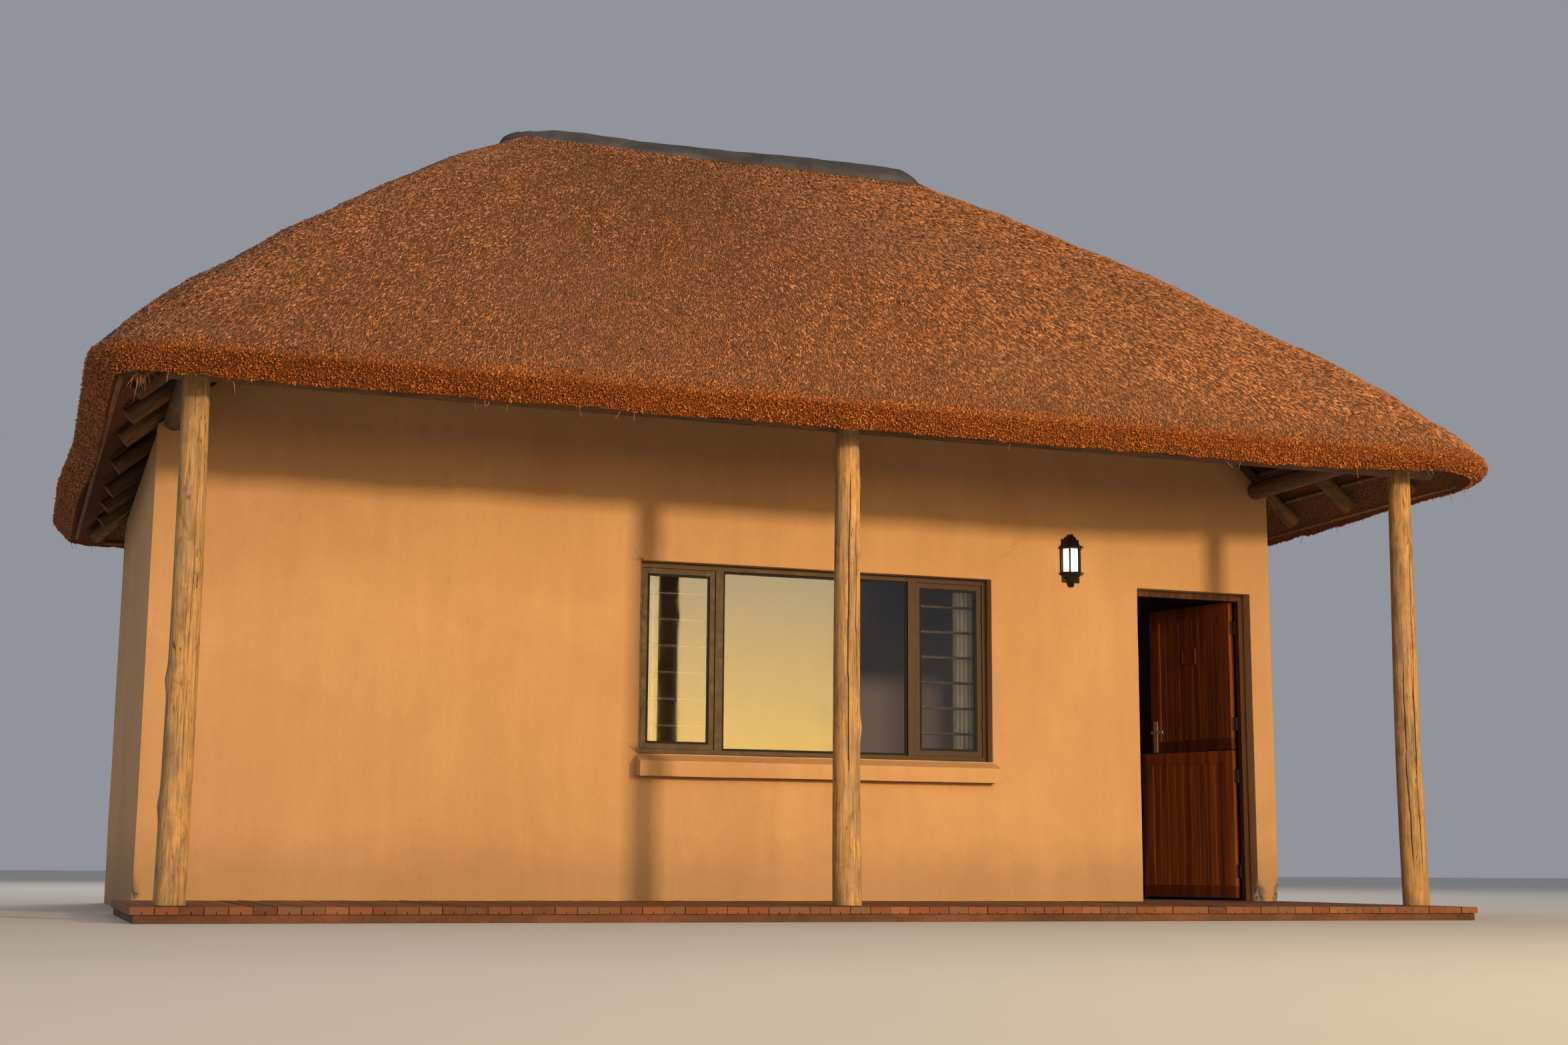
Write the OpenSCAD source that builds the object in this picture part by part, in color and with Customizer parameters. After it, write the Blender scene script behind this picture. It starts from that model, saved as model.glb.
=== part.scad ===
// Thatched chalet: plastered walls, hipped thatch roof on pole rafters,
// and a front veranda carried by three gum-pole posts.
// The ridge lies on the X axis, the veranda looks towards -Y, and Z = 0 is the ground.

/* [House] */
// Length of the front wall, outer face to outer face
house_l = 7456; // [7000:1:9000]
// Depth of the room block, outer face to outer face
house_d = 3740; // [3100:1:4500]
// Thickness of the plastered walls
wall_t = 150; // [110:1:180]
// Height of the floors above the ground
floor_h = 80; // [60:1:160]
// Height of the window and door heads above the floor
head_h = 2090; // [2060:1:2150]

/* [Veranda] */
// Front wall face to the centre of the posts
veranda_d = 1630; // [1300:1:2000]
// Post and side pole centres inside the outer wall faces
post_inset = 90; // [70:1:110]
// Left wall face to the centre of the middle post
mid_post_x = 3660; // [3200:1:4200]
// Diameter of a post at its foot
post_foot_d = 160; // [130:1:190]
// Diameter of a post at its head
post_head_d = 134; // [126:1:150]
// Diameter of the front beam and of the side poles
beam_d = 120; // [100:1:130]
// Deck beyond the post centres at the front
deck_front = 320; // [200:1:400]
// Deck beyond the post centres at the two ends
deck_side = 200; // [120:1:300]
// Thickness of the deck boards
deck_t = 38; // [32:1:45]
// Deck beyond the base that it lies on
deck_over = 14; // [5:1:30]

/* [Roof] */
// Outer top edge of the eaves above the floor
eave_h = 2690; // [2600:1:2900]
// Rise of the thatch from the eave to the ridge
roof_rise = 2430; // [2000:1:2900]
// Length of the thatch ridge
ridge_l = 2880; // [2400:1:3200]
// Eave beyond the post centres
overhang_front = 510; // [450:1:600]
// Eave beyond the back wall
overhang_back = 400; // [350:1:500]
// Eave beyond the left wall
overhang_left = 520; // [450:1:600]
// Eave beyond the right wall
overhang_right = 600; // [500:1:650]
// Height of the cut face of the thatch at the eaves
cut_h = 120; // [90:1:160]
// Lean of the cut face along the front and back
cut_front = 90; // [60:1:120]
// Lean of the cut face at the ends
cut_end = 140; // [90:1:160]
// Thatch above the inner ridge, measured plumb
ridge_t = 200; // [160:1:240]
// Swell of the thatch halfway up the slopes
swell = 145; // [80:1:160]
// Corner radius of the eaves
eave_r = 450; // [300:1:600]
// Corner radius of the thatch near the ridge
crown_r = 350; // [250:1:420]
// Half width of the crown under the ridge cap
crown_w = 60; // [50:1:80]
// Thickness of the ridge cap
cap_t = 50; // [40:1:70]
// Upturn of the ridge cap at its two ends
cap_upturn = 22; // [0:1:40]
// Diameter of the thatching laths
lath_d = 28; // [22:1:34]
// Spacing of the laths up the slope
lath_pitch = 300; // [250:1:400]
// Diameter of the common and jack rafters
rafter_d = 90; // [80:1:100]
// Diameter of the end rafters and the hip rafters
end_rafter_d = 100; // [90:1:110]
// Diameter of the wall plate poles
plate_d = 100; // [90:1:120]
// Diameter of the ridge pole
ridge_pole_d = 110; // [100:1:130]

/* [Window] */
// Left wall face to the window opening
window_x = 2926; // [2000:1:3200]
// Width of the window opening
window_w = 2400; // [1800:1:2600]
// Height of the window opening
window_h = 1200; // [900:1:1400]
// Width of the side casements between the frame and the mullion centres
casement_w = 540; // [400:1:620]
// Window frame behind the wall face
window_set = 75; // [20:1:90]
// Face width of the frame members
window_bar = 34; // [28:1:45]
// Face width of the two mullions
mullion_w = 52; // [34:1:70]
// Face width of the casement members
sash_bar = 36; // [24:1:45]
// Depth of the window frame
window_dp = 50; // [40:1:60]
// Sill beyond the wall face
sill_out = 100; // [60:1:120]
// Height of the sill's front face
sill_h = 95; // [60:1:110]
// Sill beyond the window opening at each end
sill_side = 14; // [0:1:40]

/* [Door] */
// Door opening to the right wall face
door_side = 159; // [150:1:400]
// Width of the door opening
door_w = 880; // [840:1:900]
// Face width of the door frame
jamb_w = 32; // [28:1:45]
// Depth of the door frame
frame_dp = 68; // [62:1:100]
// Thickness of the two leaves
leaf_t = 40; // [36:1:44]
// Width of the stiles of the leaves
stile_w = 95; // [80:1:110]
// Height of the rails of the leaves
rail_h = 80; // [70:1:110]
// Height of the split between the leaves above the floor
split_h = 1024; // [900:1:1100]
// Angle at which the upper leaf stands open
upper_open = 77.5; // [0:0.5:85]
// Angle at which the lower leaf stands open
lower_open = 69.5; // [0:0.5:85]

/* [Curtains] */
// Centre of the curtain rail above the window head
rail_up = 70; // [40:1:120]
// Centre of the curtain rail behind the wall
rail_out = 70; // [60:1:100]
// Diameter of the curtain rail
rail_d = 25; // [18:1:32]
// Width of a curtain drawn to its side
curtain_w = 280; // [200:1:400]
// Drop of a curtain below its rail
curtain_l = 1380; // [1200:1:1500]
// Thickness of the gathered cloth
curtain_t = 70; // [50:1:90]

/* [Lantern] */
// Left wall face to the centre of the lantern
lantern_x = 5912; // [5500:1:6200]
// Underside of the lantern above the floor
lantern_h = 2068; // [1900:1:2200]
// Height of the lantern with its knob
lantern_l = 358; // [300:1:420]
// Width of the lantern across its flanges
lantern_w = 170; // [140:1:200]

/* [Hidden] */

// Gap of a seated joint, a small overshoot for cuts, and a reach past the whole roof
fit = 0.3;
eps = 1;
far = 6000;
round_fn = 48;

// Half length and half depth of the eave line
roof_a = (house_l + overhang_left + overhang_right) / 2;
roof_b = (overhang_front + veranda_d + house_d + overhang_back) / 2;

// Faces of the walls and the line of the posts
x_left = overhang_left - roof_a;
x_right = roof_a - overhang_right;
y_post = overhang_front - roof_b;
y_front = y_post + veranda_d;
y_back = roof_b - overhang_back;
head_z = floor_h + head_h;
door_x = house_l - door_side - door_w;

// Straight underside of the thatch: eave edge, ridge end and slopes
in_a = roof_a - cut_end;
in_b = roof_b - cut_front;
in_z = floor_h + eave_h - cut_h;
in_rise = roof_rise + cut_h - ridge_t;
end_slope = roof_rise / (roof_a - ridge_l / 2);
in_ridge = in_a - in_rise / end_slope;
main_slope = in_rise / in_b;
main_ang = atan(main_slope);
end_ang = atan(end_slope);
in_crown = 25;
in_r = 150;

function under_main(y) = in_z + (in_b - abs(y)) * main_slope;
function under_end(x) = in_z + (in_a - abs(x)) * end_slope;
function hip_x(y) = in_a - (in_b - abs(y)) * main_slope / end_slope;
function hip_y(x) = in_b - (in_a - abs(x)) * end_slope / main_slope;

// Undersides of the rafters, and the pole centres that carry them
notch_d = 20;
rest_d = 15;
function seat_main(y) = under_main(y) - (lath_d + rafter_d) / cos(main_ang);
function seat_end(x) = under_end(x) - (lath_d + end_rafter_d) / cos(end_ang);
beam_z = seat_main(y_post) - (beam_d / 2 - notch_d) / cos(main_ang);
xp_left = x_left + post_inset;
xp_right = x_right - post_inset;
yp_front = y_front + wall_t / 2;
yp_back = y_back - wall_t / 2;
side_z_left = seat_end(xp_left) - (beam_d / 2 - notch_d) / cos(end_ang);
side_z_right = seat_end(xp_right) - (beam_d / 2 - notch_d) / cos(end_ang);
plate_z_back = seat_main(yp_back) - (plate_d / 2 - rest_d) / cos(main_ang);
plate_z_front = seat_main(yp_front) - (plate_d / 2 - rest_d) / cos(main_ang);
ridge_pole_z = seat_main(0) - (ridge_pole_d / 2 - rest_d) / cos(main_ang);

// Places of the rafters along the ridge and along the ends
ridge_lap = 10;
last_common = in_ridge + ridge_lap - rafter_d / 2 - fit;
commons = [-last_common, -last_common / 2, 0, last_common / 2, last_common];
jack_n = 3;
jack_step = (hip_x(y_post) - last_common) / (jack_n + 0.5);
jacks = [for (s = [-1, 1], k = [1:jack_n]) s * (last_common + k * jack_step)];
row_y = abs(yp_front);
row_step = (hip_y(xp_left) - row_y) / 2.4;
end_rows = [0, for (s = [-1, 1], k = [0:2]) s * (row_y + k * row_step)];
main_tail = 300;
end_tail = 190;

// Door in its frame, measured from the hinge pins
leaf_gap = 5;
rebate = 12;
frame_y = y_front + wall_t - frame_dp;
jamb_x = x_left + door_x + door_w - jamb_w;
leaf_w = door_w - 2 * jamb_w - 2 * leaf_gap;
pin_r = 5;
pin_fit = 0.4;
knuckle_r = 8;
pin_out = knuckle_r + fit;
pin_y = y_front + wall_t + pin_out;
leaf_top = head_h - jamb_w - leaf_gap;
leaf_foot = 18;
knuckle_l = 30;
hinge_h = 3 * knuckle_l;
hinge_w = 34;
hinge_t = 2;
upper_rows = [split_h + 180, leaf_top - 180];
lower_rows = [leaf_foot + 180, split_h - 180];

// Rings of the thatch, from the eave to the crown
levels = [0, 0.04, 0.1, 0.2, 0.35, 0.5, 0.65, 0.8, 0.9, 0.96, 1];
steps = 4;
row_n = 2 * steps + 2;

function quadrant(q) = [q == 1 || q == 2 ? 1 : -1, q > 1 ? 1 : -1];
function arc_side(a, b, r, z, side) =
    let (q = quadrant(side), p = quadrant((side + 1) % 4), start = 270 + 90 * side)
    [for (k = [0:steps]) let (t = start - 45 + 45 * k / steps)
        [q.x * (a - r) + r * cos(t), q.y * (b - r) + r * sin(t), z],
     for (k = [0:steps]) let (t = start + 45 * k / steps)
        [p.x * (a - r) + r * cos(t), p.y * (b - r) + r * sin(t), z]];
function outer_row(t, side, grow = 0, lift = 0) =
    let (a = roof_a * (1 - t) + ridge_l / 2 * t + grow, b = roof_b * (1 - t) + crown_w * t + grow,
         r = min(eave_r * (1 - t) + crown_r * t + grow, b - 5),
         z = floor_h + eave_h + roof_rise * t + swell * 4 * t * (1 - t) + lift)
    arc_side(a, b, r, z, side);
function inner_row(t, side) =
    let (a = in_a * (1 - t) + in_ridge * t, b = in_b * (1 - t) + in_crown * t,
         r = min(in_r * pow(1 - t, 6) + 20, b - 5))
    arc_side(a, b, r, in_z + in_rise * t, side);

function flat(rows) = [for (row = rows) each row];
function strip(j, k, n, base = 0) = let (p = base + j * n + k, q = p + n)
    [[p, q, q + 1], [p, q + 1, p + 1]];
function turned(faces) = [for (f = faces) [f[0], f[2], f[1]]];

// One side of the thatch, from hip to hip
module thatch_side(side) {
    n = row_n;
    last = len(levels) - 1;
    base = n * len(levels);
    points = flat([for (t = levels) outer_row(t, side), for (t = levels) inner_row(t, side)]);
    faces = flat([
        for (j = [0:last - 1], k = [0:n - 2]) strip(j, k, n),
        for (j = [0:last - 1], k = [0:n - 2]) turned(strip(j, k, n, base)),
        for (k = [0:n - 2]) [[k, k + 1, base + k + 1], [k, base + k + 1, base + k]],
        for (k = [0:n - 2]) let (o = last * n + k, i = base + o)
            [[o, i + 1, o + 1], [o, i, i + 1]],
        for (j = [0:last - 1]) let (o = j * n, i = base + o)
            [[o + n, o, i], [o + n, i, i + n]],
        for (j = [0:last - 1]) let (o = j * n + n - 1, i = base + o)
            [[o, o + n, i], [o + n, i + n, i]]]);
    polyhedron(points, faces, convexity = 4);
}

// Ring round the crown, with its long sides split up and its ends turned up
cap_n = 10;
function cap_lift(p, share) = p + [0, 0, share * cap_upturn * pow(abs(p.x) / (ridge_l / 2), 4)];
function cap_ring(t, grow = 0, lift = 0, share = 1) = [for (side = [0:3])
    let (row = outer_row(t, side, grow, lift), n = side % 2 == 0 ? cap_n : 1)
    for (k = [0:row_n - 2], j = [0:(k == steps ? n : 1) - 1])
        cap_lift(row[k] + (row[k + 1] - row[k]) * j / n, share)];

// Mortar saddle over the crown
module ridge_cap() color("dimgray") {
    rows = [cap_ring(1, share = 0), cap_ring(0.96, share = 0), cap_ring(0.96, 16, cap_t * 0.2),
        cap_ring(0.96, 22, cap_t * 0.7), cap_ring(1, 24, cap_t), cap_ring(1, 0, cap_t * 1.25),
        cap_ring(1, -crown_w / 2, cap_t * 1.45), cap_ring(1, 2 - crown_w, cap_t * 1.5)];
    n = len(rows[0]);
    last = len(rows) - 1;
    top = last * n;
    side = [for (j = [0:last - 1], k = [0:n - 1]) let (p = j * n + k, q = j * n + (k + 1) % n)
        each j == 0 ? [[p, p + n, q], [q, p + n, q + n]] : [[p, p + n, q + n], [p, q + n, q]]];
    // Each point of the front half is joined to its mirror image at the back
    crest = [for (k = [n - steps:n + n / 2 - steps - 2])
        let (p = top + k % n, q = top + (k + 1) % n,
             r = top + (2 * n - row_n + 1 - k) % n, s = top + (2 * n - row_n - k) % n)
        each [[p, r, s], [p, s, q]]];
    polyhedron(flat(rows), concat(side, crest, [[for (k = [0:n - 1]) k]]), convexity = 4);
}

module block(x0, y0, z0, x1, y1, z1) translate([x0, y0, z0]) cube([x1 - x0, y1 - y0, z1 - z0]);

// Walls
module wall_piece(x0, x1, z1)
    color("tan") block(x_left + x0, y_front, 0, x_left + x1, y_front + wall_t, z1);

module front_wall_left() wall_piece(0, window_x, head_z);
module front_wall_under_window() wall_piece(window_x, window_x + window_w, head_z - window_h);
module front_wall_middle() wall_piece(window_x + window_w, door_x, head_z);
module front_wall_right() wall_piece(door_x + door_w, house_l, head_z);

module front_wall_head() color("tan") {
    top = plate_z_front - plate_d / 2;
    knee = in_a - (top - seat_end(in_a)) / end_slope;
    translate([0, y_front + wall_t, 0]) rotate([90, 0, 0]) linear_extrude(wall_t)
        polygon([[x_left, head_z], [x_right, head_z], [x_right, seat_end(x_right) - fit],
            [knee, top], [-knee, top], [x_left, seat_end(x_left) - fit]]);
}

module end_wall(x0, top) color("tan")
    block(x0, y_front + wall_t, 0, x0 + wall_t, y_back - wall_t, top);
module left_wall() end_wall(x_left, side_z_left - beam_d / 2);
module right_wall() end_wall(x_right - wall_t, side_z_right - beam_d / 2);
module back_wall() color("tan")
    block(x_left, y_back - wall_t, 0, x_right, y_back, plate_z_back - plate_d / 2);

// Floors
module room_floor() color("rosybrown")
    block(x_left + wall_t, y_front + wall_t, 0, x_right - wall_t, y_back - wall_t, floor_h);

// Timber deck on a low base
deck_x0 = xp_left - deck_side;
deck_x1 = xp_right + deck_side;
deck_y = y_post - deck_front;
module veranda_base() color("darkgray") block(deck_x0 + deck_over, deck_y + deck_over, 0,
    deck_x1 - deck_over, y_front, floor_h - deck_t);
module veranda_deck() color("peru")
    block(deck_x0, deck_y, floor_h - deck_t, deck_x1, y_front, floor_h);

// Window
wx0 = x_left + window_x;
wx1 = wx0 + window_w;
wz0 = head_z - window_h;
wy0 = y_front + window_set;
mull = [wx0 + casement_w, wx1 - casement_w];
module window_frame() color("saddlebrown") difference() {
    block(wx0, wy0, wz0, wx1, wy0 + window_dp, head_z);
    for (span = [[wx0 + window_bar, mull[0] - mullion_w / 2],
                 [mull[0] + mullion_w / 2, mull[1] - mullion_w / 2],
                 [mull[1] + mullion_w / 2, wx1 - window_bar]])
        block(span[0], wy0 - eps, wz0 + window_bar, span[1], wy0 + window_dp + eps, head_z - window_bar);
}
sash_t = 22;
sash_set = 10;
module sash(x0, x1) difference() {
    block(x0, wy0 + sash_set, wz0 + window_bar, x1, wy0 + sash_set + sash_t, head_z - window_bar);
    block(x0 + sash_bar, wy0, wz0 + window_bar + sash_bar, x1 - sash_bar, wy0 + window_dp,
        head_z - window_bar - sash_bar);
}
module window_casements() color("saddlebrown") {
    sash(wx0 + window_bar, mull[0] - mullion_w / 2);
    sash(mull[1] + mullion_w / 2, wx1 - window_bar);
}
glass_t = 5;
glass_set = 18;
module pane(x0, x1, rim) block(x0, wy0 + glass_set, wz0 + window_bar + rim,
    x1, wy0 + glass_set + glass_t, head_z - window_bar - rim);
module window_glass() color("lightcyan", 0.4) {
    pane(wx0 + window_bar + sash_bar, mull[0] - mullion_w / 2 - sash_bar, sash_bar);
    pane(mull[0] + mullion_w / 2, mull[1] - mullion_w / 2, 0);
    pane(mull[1] + mullion_w / 2 + sash_bar, wx1 - window_bar - sash_bar, sash_bar);
}

// Plaster sill: its top slopes outwards and its underside slopes back up a little
sill_step = 7;
sill_fall = 46;
sill_under = 9;
module window_sill() color("tan")
    translate([wx0 - sill_side, y_front, wz0]) rotate([90, 0, 90])
        linear_extrude(window_w + 2 * sill_side)
            polygon([[0, sill_under - sill_fall - sill_h], [0, -sill_step],
                [-sill_out, -sill_fall], [-sill_out, -sill_fall - sill_h]]);

// Rail on two brackets, with a curtain drawn to each side
rail_y = y_front + wall_t + rail_out;
rail_z = head_z + rail_up;
curtain_over = 100;
rail_over = curtain_over + 40;
rose_t = 6;
module curtain_rail() color("dimgray") {
    translate([wx0 - rail_over, rail_y, rail_z]) rotate([0, 90, 0])
        cylinder(h = window_w + 2 * rail_over, d = rail_d, $fn = round_fn);
    for (x = [wx0 - rail_over, wx1 + rail_over]) {
        translate([x, rail_y, rail_z]) sphere(d = 1.8 * rail_d, $fn = round_fn);
        translate([x, y_front + wall_t, rail_z]) rotate([-90, 0, 0])
            cylinder(h = rail_out, d = rail_d / 2, $fn = round_fn);
        translate([x, y_front + wall_t, rail_z]) rotate([-90, 0, 0])
            cylinder(h = rose_t, d = 2 * rail_d, $fn = round_fn);
    }
}
module curtain(x) color("ivory") translate([0, 0, -curtain_l]) block(x, rail_y - curtain_t / 2,
    rail_z - rail_d / 2 - fit, x + curtain_w, rail_y + curtain_t / 2, rail_z - rail_d / 2 - fit + curtain_l);
module curtain_left() curtain(wx0 - curtain_over);
module curtain_right() curtain(wx1 + curtain_over - curtain_w);

// Door
module door_frame() color("saddlebrown") {
    x0 = x_left + door_x;
    x1 = x0 + door_w;
    difference() {
        block(x0, frame_y, floor_h, x1, frame_y + frame_dp, head_z);
        block(x0 + jamb_w, frame_y - eps, floor_h - eps, x1 - jamb_w,
            frame_y + frame_dp + eps, head_z - jamb_w);
    }
    for (side = [0, 1]) translate([side * (door_w - 2 * jamb_w - rebate), 0, 0])
        block(x0 + jamb_w, frame_y, floor_h, x0 + jamb_w + rebate,
            frame_y + frame_dp - leaf_t - leaf_gap, head_z - jamb_w);
    block(x0 + jamb_w + rebate, frame_y, head_z - jamb_w - rebate, x1 - jamb_w - rebate,
        frame_y + frame_dp - leaf_t - leaf_gap, head_z - jamb_w);
}
module door_threshold() color("dimgray")
    block(x_left + door_x, y_front, 0, x_left + door_x + door_w, y_front + wall_t, floor_h);

module at_pin(open) translate([jamb_x, pin_y, floor_h]) rotate([0, 0, -open]) children();

leaf_y = -pin_out - leaf_t;
board_in = 10;
module leaf(z0, z1) color("brown") difference() {
    block(-leaf_gap - leaf_w, leaf_y, z0, -leaf_gap, -pin_out, z1);
    block(-leaf_gap - leaf_w + stile_w, leaf_y - eps, z0 + rail_h, -leaf_gap - stile_w,
        leaf_y + board_in, z1 - rail_h);
    for (z = z0 == leaf_foot ? lower_rows : upper_rows)
        block(-leaf_gap - hinge_t, -pin_out - hinge_w, z - hinge_h / 2,
            -leaf_gap + eps, -pin_out + eps, z + hinge_h / 2);
}
split_gap = 3;
module upper_leaf() at_pin(upper_open) leaf(split_h + split_gap, leaf_top);
module lower_leaf() at_pin(lower_open) leaf(leaf_foot, split_h - split_gap);

// Lever latch on both faces: a long plate, a spindle and a flat lever
latch_z = split_h + split_gap + 120;
latch_in = 45;
plate_w = 40;
plate_h = 220;
plate_t = 4;
spindle_z = 30;
spindle_r = 9;
lever_l = 110;
lever_t = 10;
lever_out = 28;
module latch() color("gray") at_pin(upper_open)
    for (face = [0, 1]) translate([-leaf_gap - leaf_w + latch_in, face ? -pin_out : leaf_y, latch_z])
        mirror([0, face, 0]) {
            block(-plate_w / 2, -plate_t, -plate_h / 2, plate_w / 2, 0, plate_h / 2);
            translate([0, -plate_t, spindle_z]) rotate([90, 0, 0])
                cylinder(h = lever_out, r = spindle_r, $fn = round_fn);
            block(-spindle_r, -plate_t - lever_out - lever_t, spindle_z - spindle_r,
                lever_l, -plate_t - lever_out, spindle_z + spindle_r);
        }

// Hinges: the frame carries the outer knuckles and the pin, the leaf the middle knuckle
module frame_hinges() color("gray") at_pin(0) for (z = concat(upper_rows, lower_rows)) {
    difference() {
        union() {
            translate([0, 0, z]) cylinder(h = hinge_h, r = knuckle_r, center = true, $fn = round_fn);
            block(-hinge_t, -pin_out - hinge_w, z - hinge_h / 2, 0, 0, z + hinge_h / 2);
        }
        difference() {
            translate([0, 0, z]) cylinder(h = knuckle_l + 2, r = knuckle_r + 2, center = true, $fn = round_fn);
            translate([0, 0, z]) cylinder(h = knuckle_l + 4, r = pin_r, center = true, $fn = round_fn);
        }
    }
}
module leaf_hinges(rows) color("gray") for (z = rows) {
    difference() {
        union() {
            translate([0, 0, z]) cylinder(h = knuckle_l, r = knuckle_r, center = true, $fn = round_fn);
            block(-leaf_gap - hinge_t, -pin_out - hinge_w, z - knuckle_l / 2, -leaf_gap, 0, z + knuckle_l / 2);
            block(-leaf_gap - hinge_t, -pin_out - hinge_w, z - hinge_h / 2,
                -leaf_gap, -pin_out - hinge_t, z + hinge_h / 2);
        }
        translate([0, 0, z]) cylinder(h = knuckle_l + 2, r = pin_r + pin_fit, center = true, $fn = round_fn);
    }
}
module upper_hinges() at_pin(upper_open) leaf_hinges(upper_rows);
module lower_hinges() at_pin(lower_open) leaf_hinges(lower_rows);

// Poles, whose ends reach past the hips
pole_over = 60;
beam_a = hip_x(y_post) + pole_over;
module beam_pole(grow = 0) translate([-beam_a, y_post, beam_z]) rotate([0, 90, 0])
    cylinder(h = 2 * beam_a, d = beam_d + 2 * grow, $fn = round_fn);
module front_beam() color("tan") beam_pole();

// A pole that bows and thins on its way up, thicker at each knot: knots are
// [height share, direction] pairs
post_sides = 20;
post_rings = 22;
knot_rise = 9;
knot_len = 0.025;
function turn_gap(a, b) = abs((a - b + 540) % 360 - 180);
function knot(t, turn, knots) = len(knots) == 0 ? 0 : max([for (k = knots)
    knot_rise * exp(-pow((t - k[0]) / knot_len, 2)) * max(0, cos(turn_gap(turn, k[1])))]);
function post_ring(t, h, bow, knots) = let (r = (post_foot_d * (1 - t) + post_head_d * t) / 2)
    [for (k = [0:post_sides - 1]) let (turn = 360 * k / post_sides, out = r + knot(t, turn, knots))
        [bow.x * sin(180 * t) + out * cos(turn), bow.y * sin(360 * t) + out * sin(turn), h * t]];
module post_pole(h, bow, knots) {
    n = post_sides;
    rings = [for (j = [0:post_rings]) post_ring(j / post_rings, h, bow, knots)];
    side = [for (j = [0:post_rings - 1], k = [0:n - 1])
        let (p = j * n + k, q = j * n + (k + 1) % n) each [[p, p + n, q], [q, p + n, q + n]]];
    polyhedron(flat(rings), concat(side, [[for (k = [0:n - 1]) k],
        [for (k = [n - 1:-1:0]) post_rings * n + k]]), convexity = 4);
}
module post(x, bow, knots) color("burlywood") difference() {
    translate([x, y_post, floor_h]) post_pole(beam_z - floor_h, bow, knots);
    beam_pole(fit);
    side_line(xp_left, side_z_left, y_post, y_front, fit);
    side_line(xp_right, side_z_right, y_post, y_front, fit);
}
module post_left() post(xp_left, [9, 6], [[0.41, 190], [0.62, 300], [0.18, 160]]);
module post_middle() post(x_left + mid_post_x, [-5, 4], [[0.36, 350], [0.73, 10], [0.87, 20]]);
module post_right() post(xp_right, [-12, 5], [[0.5, 0], [0.8, 250]]);

module side_line(x, z, y0, y1, grow = 0) translate([x, y0, z]) rotate([-90, 0, 0])
    cylinder(h = y1 - y0, d = beam_d + 2 * grow, $fn = round_fn);
module side_pole(x, z) color("tan") difference() {
    side_line(x, z, y_post, y_front - fit);
    beam_pole(fit);
}
module side_pole_left() side_pole(xp_left, side_z_left);
module side_pole_right() side_pole(xp_right, side_z_right);

module side_plate(x, z) color("tan")
    side_line(x, z, y_front + wall_t + fit, y_back - wall_t - fit);
module plate_left() side_plate(xp_left, side_z_left);
module plate_right() side_plate(xp_right, side_z_right);

module back_plate(grow = 0) translate([x_left, yp_back, plate_z_back]) rotate([0, 90, 0])
    cylinder(h = house_l, d = plate_d + 2 * grow, $fn = round_fn);
module plate_back() color("tan") back_plate();

front_plate_a = hip_x(yp_front) + pole_over;
module front_plate(grow = 0) translate([-front_plate_a, yp_front, plate_z_front]) rotate([0, 90, 0])
    cylinder(h = 2 * front_plate_a, d = plate_d + 2 * grow, $fn = round_fn);
module plate_front() color("tan") front_plate();

module ridge_line(grow = 0) translate([-last_common - pole_over, 0, ridge_pole_z]) rotate([0, 90, 0])
    cylinder(h = 2 * (last_common + pole_over), d = ridge_pole_d + 2 * grow, $fn = round_fn);
module ridge_pole() color("tan") ridge_line();

// Poles that the rafters are notched over
module seats(grow) {
    beam_pole(grow);
    side_line(xp_left, side_z_left, y_post, y_back - wall_t, grow);
    side_line(xp_right, side_z_right, y_post, y_back - wall_t, grow);
    back_plate(grow);
    front_plate(grow);
    ridge_line(grow);
}

main_axis = (lath_d + rafter_d / 2) / cos(main_ang);
end_axis = (lath_d + end_rafter_d / 2) / cos(end_ang);
main_run = (in_b - main_tail) / cos(main_ang);
end_run = (in_a - in_ridge - end_tail) / cos(end_ang);

// Front rafters lie along -Y; the back ones are their mirror image. Each starts past
// the ridge and is cut there
head_run = 100;
module main_rafter(x) translate([x, 0, under_main(0) - main_axis]) rotate([90 + main_ang, 0, 0])
    translate([0, 0, -head_run]) cylinder(h = main_run + head_run, d = rafter_d, $fn = round_fn);

hip_yaw = atan2(in_b, in_a - in_ridge);
hip_pitch = atan(in_rise / norm([in_a - in_ridge, in_b]));
hip_run = norm([in_a - in_ridge, in_b, in_rise]) - 1.5 * end_tail;
hip_axis = (lath_d + end_rafter_d / 2) / cos(max(main_ang, end_ang));

// Upright slab along the hip line: all that lies on one side of the hip rafter, with it
module hip_slab(s, beyond) translate([s * in_ridge, 0, 0]) mirror([s < 0 ? 1 : 0, 0, 0])
    rotate([0, 0, -hip_yaw]) block(-far, beyond ? -far : -end_rafter_d / 2 - fit, 0, far,
        beyond ? end_rafter_d / 2 + fit : far, far);

module main_set(back) color("peru") difference() {
    mirror([0, back, 0]) {
        for (x = commons) difference() {
            main_rafter(x);
            block(-roof_a, -fit / 2, 0, roof_a, roof_b, far);
        }
        for (x = jacks) difference() {
            main_rafter(x);
            hip_slab(sign(x), false);
        }
    }
    seats(fit);
}
module rafters_front() main_set(0);
module rafters_back() main_set(1);

module end_rafter(s, y) mirror([s < 0 ? 1 : 0, 0, 0]) translate([in_ridge, y, under_end(in_ridge) - end_axis])
    rotate([0, 90 + end_ang, 0]) translate([0, 0, -head_run])
        cylinder(h = end_run + head_run, d = end_rafter_d, $fn = round_fn);

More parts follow.
